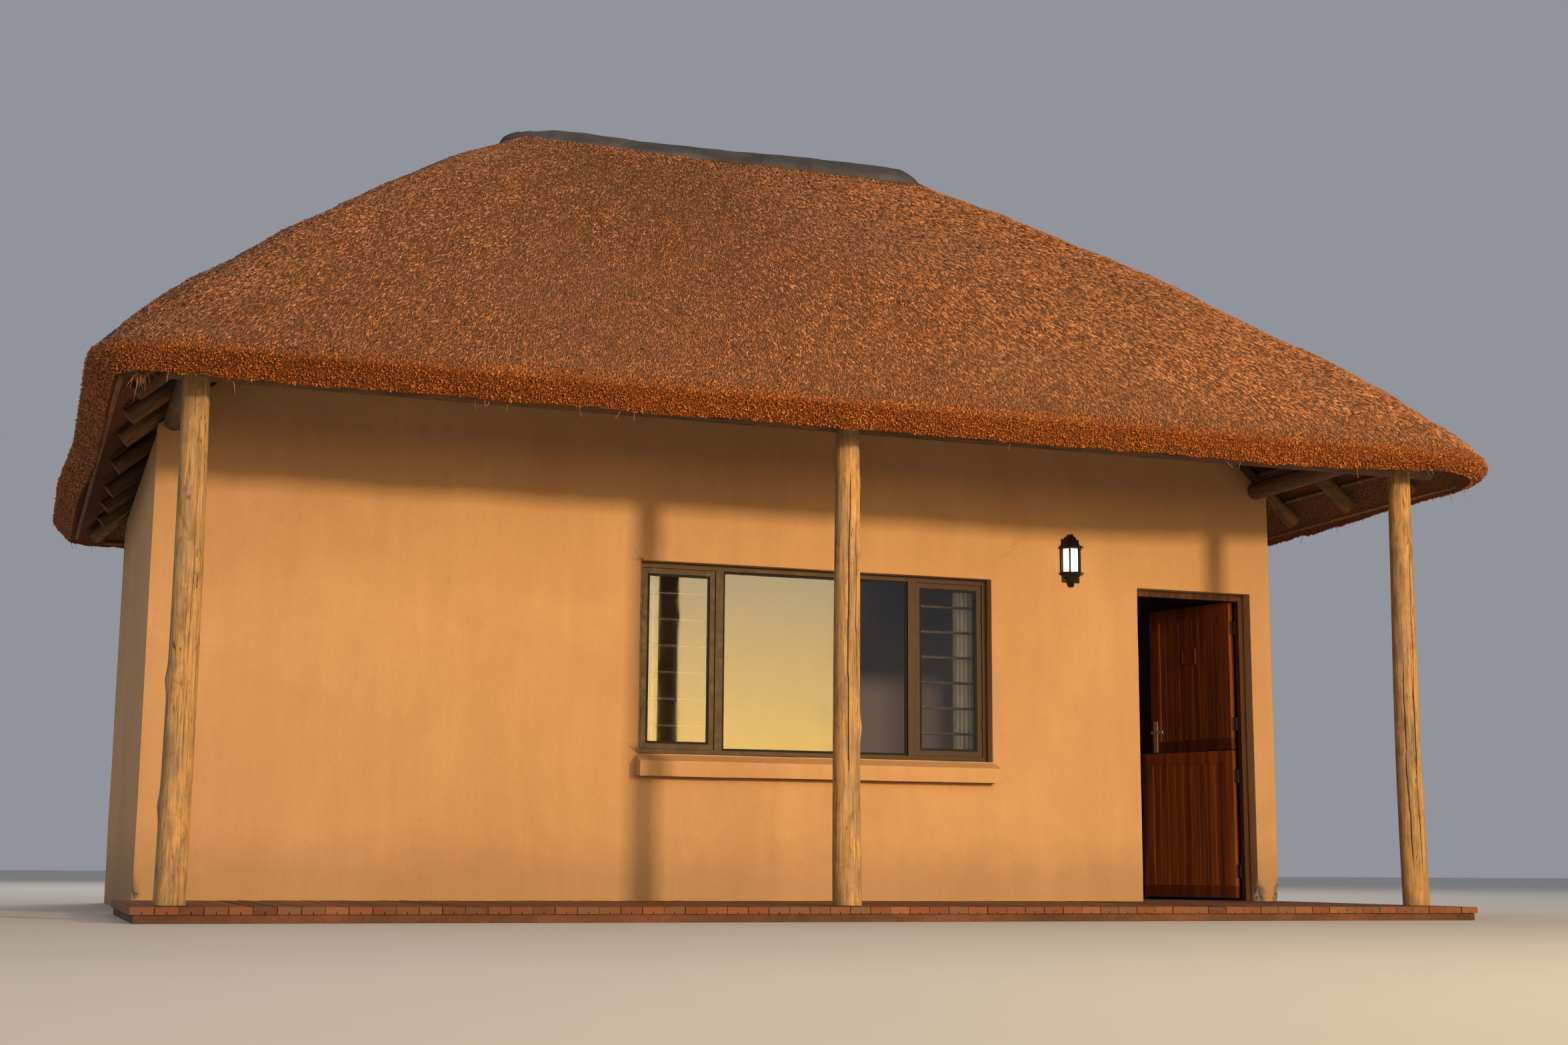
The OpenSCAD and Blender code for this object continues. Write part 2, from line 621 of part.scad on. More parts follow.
module end_set(s) difference() {
    for (y = end_rows) difference() {
        end_rafter(s, y);
        mirror([s < 0 ? 1 : 0, 0, 0]) block(-head_run, -roof_b, 0, in_ridge + ridge_lap, roof_b, far);
        if (y != 0) mirror([0, y > 0 ? 1 : 0, 0]) hip_slab(s, true);
    }
    seats(fit);
}
module rafters_left() color("peru") end_set(-1);
module rafters_right() color("peru") end_set(1);

module hip_rafter(s, t) mirror([s < 0 ? 1 : 0, 0, 0]) mirror([0, t > 0 ? 1 : 0, 0]) difference() {
    translate([in_ridge, 0, under_end(in_ridge) - hip_axis]) rotate([0, 90 + hip_pitch, -hip_yaw])
        translate([0, 0, -1.5 * head_run])
            cylinder(h = hip_run + 1.5 * head_run, d = end_rafter_d, $fn = round_fn);
    block(-ridge_lap, -roof_b, 0, in_ridge + ridge_lap, roof_b, far);
    block(0, -end_rafter_d / 2 - fit, 0, roof_a, roof_b, far);
}
module hip_rafters() color("peru") difference() {
    for (s = [-1, 1], t = [-1, 1]) hip_rafter(s, t);
    seats(fit);
}

// Laths under the thatch, at even steps up each slope
lath_first = 60;
lath_n = floor((in_rise / sin(main_ang) - 2 * lath_first) / lath_pitch);
module laths() color("darkgoldenrod") for (k = [0:lath_n]) {
    z = in_z + (lath_first + k * lath_pitch) * sin(main_ang);
    t = (z - in_z) / in_rise;
    a = in_a - (z - in_z) / end_slope;
    b = in_b - (z - in_z) / main_slope;
    stop = in_r * pow(1 - t, 6) * 1.3 + 30;
    for (s = [-1, 1]) {
        translate([0, s * b, z - lath_d / 2 / cos(main_ang)]) rotate([0, 90, 0])
            cylinder(h = 2 * (a - stop), d = lath_d, center = true, $fn = 16);
        if (b > 150) translate([s * a, 0, z - lath_d / 2 / cos(end_ang)]) rotate([90, 0, 0])
            cylinder(h = 2 * (b - stop), d = lath_d, center = true, $fn = 16);
    }
}

module thatch_front() color("goldenrod") thatch_side(0);
module thatch_right() color("goldenrod") thatch_side(1);
module thatch_back() color("goldenrod") thatch_side(2);
module thatch_left() color("goldenrod") thatch_side(3);

// Flush wall lantern with a half-hexagon plan. Its parts stack up from the foot, each
// between two shares of the height and of the width, and lap a little into the next
hex_out = 0.48;
glass_foot = 0.257;
glass_head = 0.715;
flange = 0.028;
lap = 0.01;
bar_r = 5;
module half_hex(w) polygon([[-w / 2, 0], [-w / 4, -w * hex_out], [w / 4, -w * hex_out], [w / 2, 0]]);
module lantern_part(low, wide0, high, wide1)
    translate([x_left + lantern_x, y_front, floor_h + lantern_h + low * lantern_l])
        linear_extrude((high - low) * lantern_l, scale = wide1 / wide0) half_hex(wide0 * lantern_w);
module lantern_body() color("black") {
    lantern_part(0, 0.22, 0.14 + lap, 0.5);
    lantern_part(0.14, 0.55, glass_foot - flange + lap, 0.96);
    lantern_part(glass_foot - flange, 1, glass_foot, 1);
    lantern_part(glass_head, 1, glass_head + flange, 1);
    lantern_part(glass_head + flange - lap, 0.96, 0.94, 0.5);
    lantern_part(0.94 - lap, 0.46, 1, 0.16);
    for (k = [-1, 1], p = [[0.42, 0.04], [0.21, hex_out * 0.84]])
        translate([x_left + lantern_x + k * p.x * lantern_w, y_front - p.y * lantern_w,
                floor_h + lantern_h + (glass_foot - lap) * lantern_l])
            cylinder(h = (glass_head - glass_foot + 2 * lap) * lantern_l, r = bar_r, $fn = round_fn);
}
module lantern_glass() color("lightyellow") difference() {
    lantern_part(glass_foot + fit / lantern_l, 0.7, glass_head - fit / lantern_l, 0.7);
    lantern_part(glass_foot - flange, 0.64, glass_head + flange, 0.64);
}

front_wall_left();
front_wall_under_window();
front_wall_middle();
front_wall_right();
front_wall_head();
left_wall();
right_wall();
back_wall();
room_floor();
veranda_base();
veranda_deck();
window_frame();
window_casements();
window_glass();
window_sill();
curtain_rail();
curtain_left();
curtain_right();
door_frame();
door_threshold();
upper_leaf();
lower_leaf();
latch();
frame_hinges();
upper_hinges();
lower_hinges();
post_left();
post_middle();
post_right();
front_beam();
side_pole_left();
side_pole_right();
plate_left();
plate_right();
plate_back();
plate_front();
ridge_pole();
rafters_front();
rafters_back();
rafters_left();
rafters_right();
hip_rafters();
laths();
thatch_front();
thatch_right();
thatch_back();
thatch_left();
ridge_cap();
lantern_body();
lantern_glass();
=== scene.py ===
"""Thatched chalet hut: finishes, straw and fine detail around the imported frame."""
import math
from contextlib import contextmanager

import bpy
import numpy as np
from mathutils import Matrix, Vector


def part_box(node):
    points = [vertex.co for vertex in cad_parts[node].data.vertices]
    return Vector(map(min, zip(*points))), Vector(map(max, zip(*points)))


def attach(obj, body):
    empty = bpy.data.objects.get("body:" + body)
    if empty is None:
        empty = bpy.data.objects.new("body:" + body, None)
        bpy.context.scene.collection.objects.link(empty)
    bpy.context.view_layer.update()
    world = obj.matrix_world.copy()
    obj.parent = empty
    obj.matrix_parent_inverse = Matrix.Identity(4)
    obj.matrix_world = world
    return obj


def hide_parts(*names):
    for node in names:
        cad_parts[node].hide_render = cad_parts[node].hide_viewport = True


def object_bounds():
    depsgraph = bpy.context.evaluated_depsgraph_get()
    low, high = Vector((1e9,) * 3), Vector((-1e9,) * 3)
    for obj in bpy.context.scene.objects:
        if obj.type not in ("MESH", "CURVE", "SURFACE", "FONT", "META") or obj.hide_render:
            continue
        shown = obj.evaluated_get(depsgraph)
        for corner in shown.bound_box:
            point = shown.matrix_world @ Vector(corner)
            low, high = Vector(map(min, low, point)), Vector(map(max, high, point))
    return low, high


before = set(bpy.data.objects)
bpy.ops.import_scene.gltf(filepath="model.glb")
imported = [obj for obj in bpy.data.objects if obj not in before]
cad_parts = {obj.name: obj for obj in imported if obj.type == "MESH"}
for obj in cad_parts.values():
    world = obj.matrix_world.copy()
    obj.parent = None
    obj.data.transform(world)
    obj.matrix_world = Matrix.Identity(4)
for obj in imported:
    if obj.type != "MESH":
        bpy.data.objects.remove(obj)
cad_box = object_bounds()
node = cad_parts
chance = np.random.default_rng(11)
scene = bpy.context.scene


# Colours and finishes

def paint(red, green, blue):
    """A screen colour of 0 to 255 as the linear colour that a shader takes."""
    return tuple(v / 3294.6 if v <= 10 else ((v / 255 + 0.055) / 1.055) ** 2.4
                 for v in (red, green, blue)) + (1,)


class Finish:
    """One procedural finish, read on the piece's own coordinates."""

    def __init__(self, name, rough=0.7, metal=0.0, shine=0.3):
        self.mat = bpy.data.materials.new(name)
        self.mat.use_nodes = True
        self.tree = self.mat.node_tree
        self.skin = self.tree.nodes["Principled BSDF"]
        self.skin.inputs["Roughness"].default_value = rough
        self.skin.inputs["Metallic"].default_value = metal
        self.skin.inputs["Specular IOR Level"].default_value = shine
        self.spot = self.put("ShaderNodeTexCoord").outputs["Object"]
        self.dents = None

    def put(self, kind, **facts):
        """Adds a node and sets what is said about it."""
        made = self.tree.nodes.new(kind)
        for key, value in facts.items():
            setattr(made, key, value)
        return made

    def join(self, source, target):
        """Sets a socket from a number or colour, or from another node's output."""
        if isinstance(source, bpy.types.NodeSocket):
            self.tree.links.new(source, target)
        else:
            target.default_value = source

    def stretch(self, scale=(1, 1, 1), turn=(0, 0, 0), spot=None):
        """The place, stretched and turned so that a pattern runs one way."""
        made = self.put("ShaderNodeMapping")
        self.join(spot or self.spot, made.inputs["Vector"])
        made.inputs["Scale"].default_value = scale
        made.inputs["Rotation"].default_value = turn
        return made.outputs["Vector"]

    def cloud(self, scale, detail=3.0, rough=0.55, spot=None, warp=0.0):
        """Soft noise; the scale is how many blots lie on a metre."""
        made = self.put("ShaderNodeTexNoise")
        self.join(spot or self.spot, made.inputs["Vector"])
        for key, value in (("Scale", scale), ("Detail", detail), ("Roughness", rough),
                           ("Distortion", warp)):
            made.inputs[key].default_value = value
        return made.outputs["Fac"]

    def pebbles(self, scale):
        """How far a point lies from the middle of its cell."""
        made = self.put("ShaderNodeTexVoronoi", feature="F1")
        self.join(self.spot, made.inputs["Vector"])
        made.inputs["Scale"].default_value = scale
        return made.outputs["Distance"]

    def held(self, name):
        """A value kept on the mesh as an attribute."""
        return self.put("ShaderNodeAttribute", attribute_name=name).outputs["Fac"]

    def laid(self, name):
        """A UV map kept on the mesh."""
        return self.put("ShaderNodeUVMap", uv_map=name).outputs[0]

    def sums(self, way, a, b=0.0, c=0.0):
        """One step of arithmetic."""
        made = self.put("ShaderNodeMath", operation=way)
        for socket, value in zip(made.inputs, (a, b, c)):
            self.join(value, socket)
        return made.outputs[0]

    def steps(self, value, *stops):
        """A ramp through (place, colour) stops; a number stands for a grey."""
        made = self.put("ShaderNodeValToRGB")
        self.join(value, made.inputs[0])
        ramp = made.color_ramp
        while len(ramp.elements) < len(stops):
            ramp.elements.new(0.5)
        for element, (place, _) in zip(ramp.elements, stops):
            element.position = place
        for element, (_, colour) in zip(ramp.elements, stops):
            element.color = colour if isinstance(colour, tuple) else (colour,) * 3 + (1,)
        return made.outputs[0]

    def mixed(self, share, a, b):
        """From colour a to colour b by a share."""
        made = self.put("ShaderNodeMix", data_type="RGBA")
        for socket, value in zip((made.inputs[0], made.inputs[6], made.inputs[7]), (share, a, b)):
            self.join(value, socket)
        return made.outputs[2]

    def height(self, axis, low, high):
        """How far a point lies between two levels on an axis, from 0 to 1."""
        parts = self.put("ShaderNodeSeparateXYZ")
        self.join(self.spot, parts.inputs[0])
        made = self.put("ShaderNodeMapRange")
        self.join(parts.outputs[axis], made.inputs[0])
        made.inputs[1].default_value = low
        made.inputs[2].default_value = high
        return made.outputs[0]

    def relief(self, value, depth):
        """Adds a bump on top of the ones before it."""
        made = self.put("ShaderNodeBump")
        made.inputs["Strength"].default_value = 1.0
        made.inputs["Distance"].default_value = depth
        self.join(value, made.inputs["Height"])
        if self.dents:
            self.join(self.dents, made.inputs["Normal"])
        self.dents = made.outputs[0]
        return self

    def wear(self, colour, rough=None):
        """Closes the finish and gives the material."""
        self.join(colour, self.skin.inputs["Base Color"])
        if rough is not None:
            self.join(rough, self.skin.inputs["Roughness"])
        if self.dents:
            self.join(self.dents, self.skin.inputs["Normal"])
        return self.mat


# Where the plaster is chipped: place, how far the bare cement shows, and the size broken out
CHIPS = (
    ((3.528, -1.0, 0.135), 0.045, (0.018, 0.02, 0.05)),
    ((3.533, -1.0, 0.09), 0.04, (0.024, 0.016, 0.03)),
    ((3.69, -1.0, 0.15), 0.04, (0.02, 0.02, 0.042)),
    ((3.686, -1.0, 0.09), 0.05, (0.018, 0.022, 0.03)),
    ((-3.77, -1.0, 0.11), 0.02, (0.016, 0.016, 0.035)),
    ((-0.844, -1.0, 2.172), 0.0, (0.008, 0.012, 0.01)),
    ((3.69, 2.742, 0.12), 0.035, (0.02, 0.02, 0.05)),
    ((-3.77, 2.742, 0.07), 0.02, (0.02, 0.016, 0.04)),
)


def wall_plaster():
    """Sand-coloured limewash, brushed on by hand over a floated coat."""
    f = Finish("sand_plaster", rough=0.85, shine=0.2)
    patches = f.cloud(0.8, 5, 0.62, warp=0.5)
    strokes = f.cloud(7, 5, 0.65, f.stretch((1, 1, 0.16)), warp=0.2)
    fine = f.cloud(170, 4, 0.65)
    base = f.mixed(f.steps(patches, (0.32, 0), (0.7, 1)), paint(184, 142, 98), paint(198, 156, 112))
    base = f.mixed(f.steps(strokes, (0.34, 0.2), (0.66, 0)), base, paint(162, 120, 80))
    edge = f.cloud(5, 5, 0.62)
    low = f.sums("SUBTRACT", f.height(2, 0.04, 0.7), f.sums("MULTIPLY", edge, 0.55))
    base = f.mixed(f.steps(low, (0.0, 0.38), (0.42, 0.0)), base, paint(138, 116, 90))
    streak = f.cloud(3.2, 6, 0.7, f.stretch((1, 1, 0.05)), warp=0.4)
    base = f.mixed(f.steps(streak, (0.6, 0), (0.75, 0.25)), base, paint(146, 122, 94))
    scuffs = f.steps(f.cloud(2.4, 9, 0.74, warp=1.3), (0.665, 0), (0.70, 0.35))
    base = f.mixed(scuffs, base, paint(132, 112, 90))
    specks = f.steps(f.pebbles(60), (0.02, 0.45), (0.07, 0.0))
    base = f.mixed(f.sums("MULTIPLY", specks, f.steps(edge, (0.5, 0), (0.62, 1))), base, paint(110, 90, 70))
    # Inside the room the walls turn a darker grey: partly their grey paint, partly painted shade, as the room
    # lies dark.
    room_low, room_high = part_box("room_floor")
    indoors = 1.0
    for axis in (0, 1):
        start, end = room_low[axis], room_high[axis]
        past = f.steps(f.height(axis, start - 0.02, start + 0.01), (0.4, 0), (0.6, 1))
        before = f.steps(f.height(axis, end - 0.01, end + 0.02), (0.4, 1), (0.6, 0))
        indoors = f.sums("MULTIPLY", f.sums("MULTIPLY", indoors, past), before)
    base = f.mixed(indoors, base, paint(124, 112, 112))
    ragged = f.sums("MULTIPLY", f.cloud(30, 5, 0.7), 0.09)
    for place, reach, *_ in CHIPS:
        far = f.put("ShaderNodeVectorMath", operation="DISTANCE")
        f.join(f.spot, far.inputs[0])
        far.inputs[1].default_value = place
        bare = f.steps(f.sums("ADD", far.outputs["Value"], ragged), (reach + 0.03, 1), (reach + 0.05, 0))
        base = f.mixed(bare, base, paint(126, 116, 106))
        f.relief(bare, -0.003)
    f.relief(patches, 0.016).relief(f.cloud(24, 5, 0.62, warp=0.6), 0.0045).relief(strokes, 0.004)
    f.relief(fine, 0.0012).relief(f.steps(specks, (0, 0), (0.4, 1)), -0.0008)
    return f.wear(base, f.steps(patches, (0.3, 0.78), (0.7, 0.93)))


def cement(name, light, dark):
    """Trowelled cement with blotches, and pin holes painted near black as the shade in them."""
    f = Finish(name, rough=0.8, shine=0.25)
    blotch = f.cloud(2.6, 6, 0.62, warp=0.5)
    fine = f.cloud(90, 4, 0.7)
    pits = f.steps(f.pebbles(34), (0.04, 1), (0.10, 0))
    base = f.mixed(f.steps(blotch, (0.35, 0), (0.68, 1)), dark, light)
    base = f.mixed(f.steps(fine, (0.35, 0.3), (0.6, 0)), base, paint(24, 22, 21))
    # Pin holes are painted near black: painted shade in them.
    base = f.mixed(f.sums("MULTIPLY", pits, 0.5), base, paint(30, 27, 25))
    f.relief(blotch, 0.006).relief(fine, 0.0015).relief(pits, -0.001)
    return f.wear(base, f.steps(blotch, (0.3, 0.68), (0.7, 0.88)))


def along(direction):
    """The turn that lays a pole's direction on the Z axis."""
    return Vector(direction).rotation_difference(Vector((0, 0, 1))).to_euler()


def pole_wood(name, direction, light, dark, grey, cracks=0.5, grooved=False):
    """Peeled gum pole: grain and drying cracks run along it, with weathered blotches; the cracks are painted
    near black, as shade inside them.
    """
    f = Finish(name, rough=0.8, shine=0.18)
    straight = f.stretch(turn=tuple(along(direction)))
    grain = f.cloud(95, 6, 0.64, f.stretch((1, 1, 0.04), spot=straight), warp=0.35)
    blotch = f.cloud(5.2, 6, 0.66, f.stretch((1.5, 1.5, 0.6), spot=straight), warp=0.6)
    spots = f.cloud(13, 5, 0.66, f.stretch((1.5, 1.5, 0.5), spot=straight), warp=0.7)
    split = f.cloud(26, 2, 0.5, f.stretch((1, 1, 0.045), spot=straight), warp=0.4)
    crack = f.steps(f.sums("ABSOLUTE", f.sums("SUBTRACT", split, 0.5)), (0.0, 1), (0.010, 0))
    crack = f.sums("MULTIPLY", crack, f.steps(spots, (0.42, 1), (0.52, 0.1)))
    base = f.mixed(f.steps(blotch, (0.43, 0), (0.58, 1)), light, grey)
    base = f.mixed(f.steps(spots, (0.52, 0), (0.68, 0.55)), base, dark)
    base = f.mixed(f.steps(grain, (0.3, 0.7), (0.6, 0)), base, dark)
    # Cracks, and on a post the grooves in its mesh too, are painted near black: painted shade inside them.
    if grooved:
        crack = f.sums("MAXIMUM", crack, f.held("split"))
    base = f.mixed(f.sums("MULTIPLY", crack, cracks), base, paint(34, 24, 17))
    f.relief(grain, 0.0018).relief(spots, 0.0012).relief(crack, -0.003)
    return f.wear(base, f.steps(grain, (0.3, 0.9), (0.7, 0.7)))


def sawn_wood(name, light, dark, dark_bands=()):
    """Planed and stained boards: upright grain, dust in the joints, and darker bands low on the leaves."""
    f = Finish(name, rough=0.5, shine=0.4)
    upright = f.stretch((1, 1, 0.04))
    grain = f.cloud(60, 6, 0.6, upright, warp=0.6)
    bands = f.cloud(12, 3, 0.5, upright, warp=1.2)
    base = f.mixed(f.steps(bands, (0.35, 0), (0.65, 1)), dark, light)
    base = f.mixed(f.steps(grain, (0.35, 0.6), (0.62, 0)), base, dark)
    dust = f.sums("MULTIPLY", f.held("dust"), f.steps(f.cloud(9, 4, 0.6), (0.3, 0.3), (0.6, 0.8)))
    base = f.mixed(dust, base, paint(128, 70, 36))
    # Darker bands just above each leaf's bottom rail, at the heights given.
    for low, high in dark_bands:
        band = f.sums("MULTIPLY", f.steps(f.height(2, low - 0.01, low + 0.01), (0.3, 0), (0.6, 1)),
                      f.steps(f.height(2, high - 0.01, high + 0.01), (0.4, 1), (0.7, 0)))
        base = f.mixed(f.sums("MULTIPLY", band, 0.55), base, paint(58, 20, 10))
    worn = f.cloud(3, 4, 0.6)
    f.relief(grain, 0.0008)
    return f.wear(base, f.steps(worn, (0.3, 0.42), (0.7, 0.64)))


def deck_wood():
    """Decking: growth rings round each board's own heart, read from its map."""
    f = Finish("deck_timber", rough=0.7, shine=0.3)
    lay = f.laid("heart")
    wander = f.cloud(7, 3, 0.5, f.stretch((1, 0.12, 1)))
    far = f.put("ShaderNodeVectorMath", operation="LENGTH")
    f.join(lay, far.inputs[0])
    rings = f.sums("ADD", f.sums("MULTIPLY", far.outputs["Value"], 1450), f.sums("MULTIPLY", wander, 11))
    rings = f.sums("MULTIPLY_ADD", f.sums("SINE", rings), 0.5, 0.5)
    tone = f.held("tone")
    base = f.steps(tone, (0.0, paint(92, 54, 38)), (0.25, paint(142, 80, 50)), (0.5, paint(122, 86, 62)),
                   (0.75, paint(122, 68, 42)), (1.0, paint(156, 102, 68)))
    base = f.mixed(f.steps(rings, (0.45, 0.0), (0.95, 0.55)), base, paint(70, 40, 26))
    dirt = f.cloud(14, 6, 0.7, warp=0.4)
    base = f.mixed(f.steps(dirt, (0.45, 0), (0.75, 0.5)), base, paint(104, 92, 80))
    f.relief(rings, 0.0008).relief(f.cloud(220, 3, 0.6, f.stretch((1, 0.05, 1))), 0.0009)
    return f.wear(base, f.steps(dirt, (0.3, 0.6), (0.7, 0.88)))


def thatch_skin():
    """Packed thatch between the straw ends, with streaks that follow the slope; its darkest streaks are
    partly painted shade between the straws.
    """
    f = Finish("thatch_packed", rough=0.9, shine=0.15)
    lay = f.laid("lay")
    streak = f.cloud(190, 3, 0.62, f.stretch((1, 0.22, 1), spot=lay), warp=0.3)
    tuft = f.cloud(46, 3, 0.6, f.stretch((1, 0.4, 1), spot=lay))
    broad = f.cloud(1.3, 4, 0.6)
    # The darkest stops here and on the cut face are partly painted shade, deep between the straws.
    base = f.steps(streak, (0.36, paint(46, 28, 18)), (0.5, paint(104, 66, 40)), (0.64, paint(170, 116, 74)))
    base = f.mixed(f.steps(broad, (0.35, 0), (0.65, 0.3)), base, paint(98, 72, 54))
    cut = f.steps(f.cloud(130, 3, 0.6), (0.4, paint(58, 28, 10)), (0.64, paint(140, 76, 30)))
    base = f.mixed(f.held("cut"), base, cut)
    f.relief(tuft, 0.012).relief(streak, 0.008)
    return f.wear(base)


def straw(name, dark, mid, light, pale, aged):
    """Single straws, each with its own tone."""
    f = Finish(name, rough=0.6, shine=0.35)
    tone = f.held("tone")
    base = f.steps(tone, (0.0, dark), (0.35, mid), (0.7, light), (1.0, pale))
    age = f.cloud(0.8, 5, 0.62, warp=0.5)
    base = f.mixed(f.steps(age, (0.4, 0.0), (0.62, 0.45)), base, aged)
    return f.wear(base)


def coated(name, colour, rough, metal=0.0, dust=0.25):
    """Sprayed or powder-coated metal with dust and rubbed places."""
    f = Finish(name, rough=rough, metal=metal, shine=0.5)
    spread = f.cloud(18, 5, 0.65, warp=0.4)
    fine = f.cloud(900, 2, 0.5)
    grey = tuple(min(1, c * 0.6 + 0.12) for c in colour[:3]) + (1,)
    base = f.mixed(f.steps(spread, (0.5, 0), (0.8, dust)), colour, grey)
    f.relief(fine, 0.0001).relief(spread, 0.0002)
    return f.wear(base, f.steps(spread, (0.3, rough - 0.07), (0.75, rough + 0.18)))


def pane(name, tint, rough, dust, glow=0.0):
    """Glass with a film of dust; a lamp's panes also glow."""
    f = Finish(name, rough=rough, shine=0.5)
    f.skin.inputs["Transmission Weight"].default_value = 1.0
    f.skin.inputs["IOR"].default_value = 1.5
    film = f.cloud(6, 6, 0.7, warp=0.6)
    base = f.mixed(f.steps(film, (0.5, 0), (0.85, dust)), tint, paint(206, 200, 188))
    if glow:
        f.skin.inputs["Emission Strength"].default_value = glow
        bright = f.mixed(f.steps(f.height(2, 2.22, 2.41), (0.0, 0.75), (0.35, 0.0), (0.7, 0.0), (1.0, 0.6)),
                         paint(255, 248, 232), paint(214, 176, 120))
        f.join(bright, f.skin.inputs["Emission Color"])
        f.relief(f.pebbles(240), 0.0004)
    return f.wear(base, f.steps(film, (0.3, rough), (0.8, rough + 0.05)))


def cloth():
    """Lined cotton: a fine weave and faint slubs."""
    f = Finish("curtain_cotton", rough=0.9, shine=0.15)
    f.skin.inputs["Sheen Weight"].default_value = 0.3
    lay = f.laid("lay")
    warp = f.cloud(900, 2, 0.5, f.stretch((1, 0.06, 1), spot=lay))
    weft = f.cloud(900, 2, 0.5, f.stretch((0.06, 1, 1), spot=lay))
    weave = f.sums("ADD", warp, weft)
    slub = f.cloud(30, 3, 0.5, f.stretch((1, 0.2, 1), spot=lay))
    base = f.mixed(f.steps(slub, (0.4, 0), (0.7, 0.5)), paint(216, 212, 206), paint(192, 186, 176))
    f.relief(weave, 0.0006)
    return f.wear(base)


def rubber_strip():
    """Dull black rubber, greyed by dust."""
    f = Finish("glazing_rubber", rough=0.65, shine=0.3)
    dust = f.cloud(40, 4, 0.6)
    f.relief(dust, 0.0003)
    return f.wear(f.mixed(f.steps(dust, (0.5, 0), (0.75, 0.3)), paint(26, 24, 23), paint(74, 68, 60)),
                  f.steps(dust, (0.4, 0.55), (0.7, 0.8)))


# Light, dark and grey tones of the roof's poles
ROOF_POLE = paint(136, 98, 64), paint(64, 42, 28), paint(108, 88, 70)

plaster = wall_plaster()
packed_thatch = thatch_skin()
straw_roof = straw("straw_weathered", paint(56, 32, 19), paint(140, 87, 54),
                   paint(192, 129, 84), paint(222, 170, 124), paint(132, 98, 74))
straw_cut = straw("straw_cut_ends", paint(66, 34, 13), paint(138, 78, 33),
                  paint(176, 104, 48), paint(204, 140, 76), paint(142, 84, 40))
mortar = cement("ridge_mortar", paint(96, 92, 94), paint(66, 63, 66))
screed = cement("floor_screed", paint(150, 136, 120), paint(112, 100, 88))
base_cement = cement("stained_base", paint(118, 78, 54), paint(80, 54, 40))
deck_finish = deck_wood()
post_finish = pole_wood("post_gum", (0, 0, 1), paint(188, 148, 96), paint(104, 72, 44),
                        paint(156, 130, 96), 0.85, grooved=True)
bronze = coated("bronze_aluminium", paint(64, 46, 31), 0.34, 0.3, 0.12)
black_metal = coated("black_coated_metal", paint(20, 19, 19), 0.4, 0.2)
steel = coated("hinge_steel", paint(84, 72, 58), 0.4, 0.6, 0.3)
brass = coated("latch_brass", paint(206, 188, 146), 0.34, 0.45, 0.15)
door_finish = sawn_wood("door_mahogany", paint(152, 80, 32), paint(96, 42, 15),
                        dark_bands=((0.09, 0.178), (1.105, 1.187)))
frame_finish = sawn_wood("frame_dark", paint(104, 60, 36), paint(58, 32, 20))
glass = pane("window_pane", (0.93, 0.96, 0.95, 1), 0.02, 0.12)
lamp_glass = pane("lantern_pane", (0.97, 0.95, 0.9, 1), 0.3, 0.1, glow=0.85)
rubber = rubber_strip()
curtain_finish = cloth()


# Hand tools: selecting, shaping and placing

WELD_GAP = 0.00002


def let_go():
    """Leaves edit mode, with nothing selected."""
    if bpy.context.object and bpy.context.object.mode != "OBJECT":
        bpy.ops.object.mode_set(mode="OBJECT")
    bpy.ops.object.select_all(action="DESELECT")


def take(piece):
    """Makes one piece the selected and active one."""
    let_go()
    piece.select_set(True)
    bpy.context.view_layer.objects.active = piece
    return piece


@contextmanager
def editing(chosen="SELECT"):
    """Edit mode on the active piece, with all of it selected or nothing."""
    bpy.ops.object.mode_set(mode="EDIT")
    bpy.ops.mesh.select_all(action=chosen)
    yield
    bpy.ops.object.mode_set(mode="OBJECT")


def settle(piece):
    """Puts the piece's place into its mesh, with faces outwards."""
    take(piece)
    bpy.ops.object.transform_apply()
    with editing():
        bpy.ops.mesh.remove_doubles(threshold=WELD_GAP)
        bpy.ops.mesh.normals_make_consistent(inside=False)
    return piece


def block(name, low, high):
    """A box between two corners, to be shaped further."""
    let_go()
    low, high = Vector(low), Vector(high)
    bpy.ops.mesh.primitive_cube_add(size=1, location=(low + high) / 2)
    piece = bpy.context.object
    piece.name = name
    piece.scale = high - low
    bpy.ops.object.transform_apply()
    return piece


def pick(piece, kind, test):
    """Selects the vertices, edges or faces whose middle passes the test, in edit mode."""
    take(piece)
    bpy.ops.object.mode_set(mode="EDIT")
    bpy.ops.mesh.select_mode(type=kind)
    bpy.ops.mesh.select_all(action="DESELECT")
    bpy.ops.object.mode_set(mode="OBJECT")
    mesh = piece.data
    if kind == "VERT":
        for v in mesh.vertices:
            v.select = test(v.co)
    elif kind == "EDGE":
        for e in mesh.edges:
            a, b = (mesh.vertices[k].co for k in e.vertices)
            e.select = test((a + b) / 2, (b - a).normalized())
    else:
        for p in mesh.polygons:
            p.select = test(p.center, p.normal)
    bpy.ops.object.mode_set(mode="EDIT")


def ease(piece, width, segments=2, test=lambda mid, way: True):
    """Rounds the chosen edges over."""
    pick(piece, "EDGE", test)
    bpy.ops.mesh.bevel(offset=width, segments=segments, affect="EDGES")
    bpy.ops.object.mode_set(mode="OBJECT")
    return piece


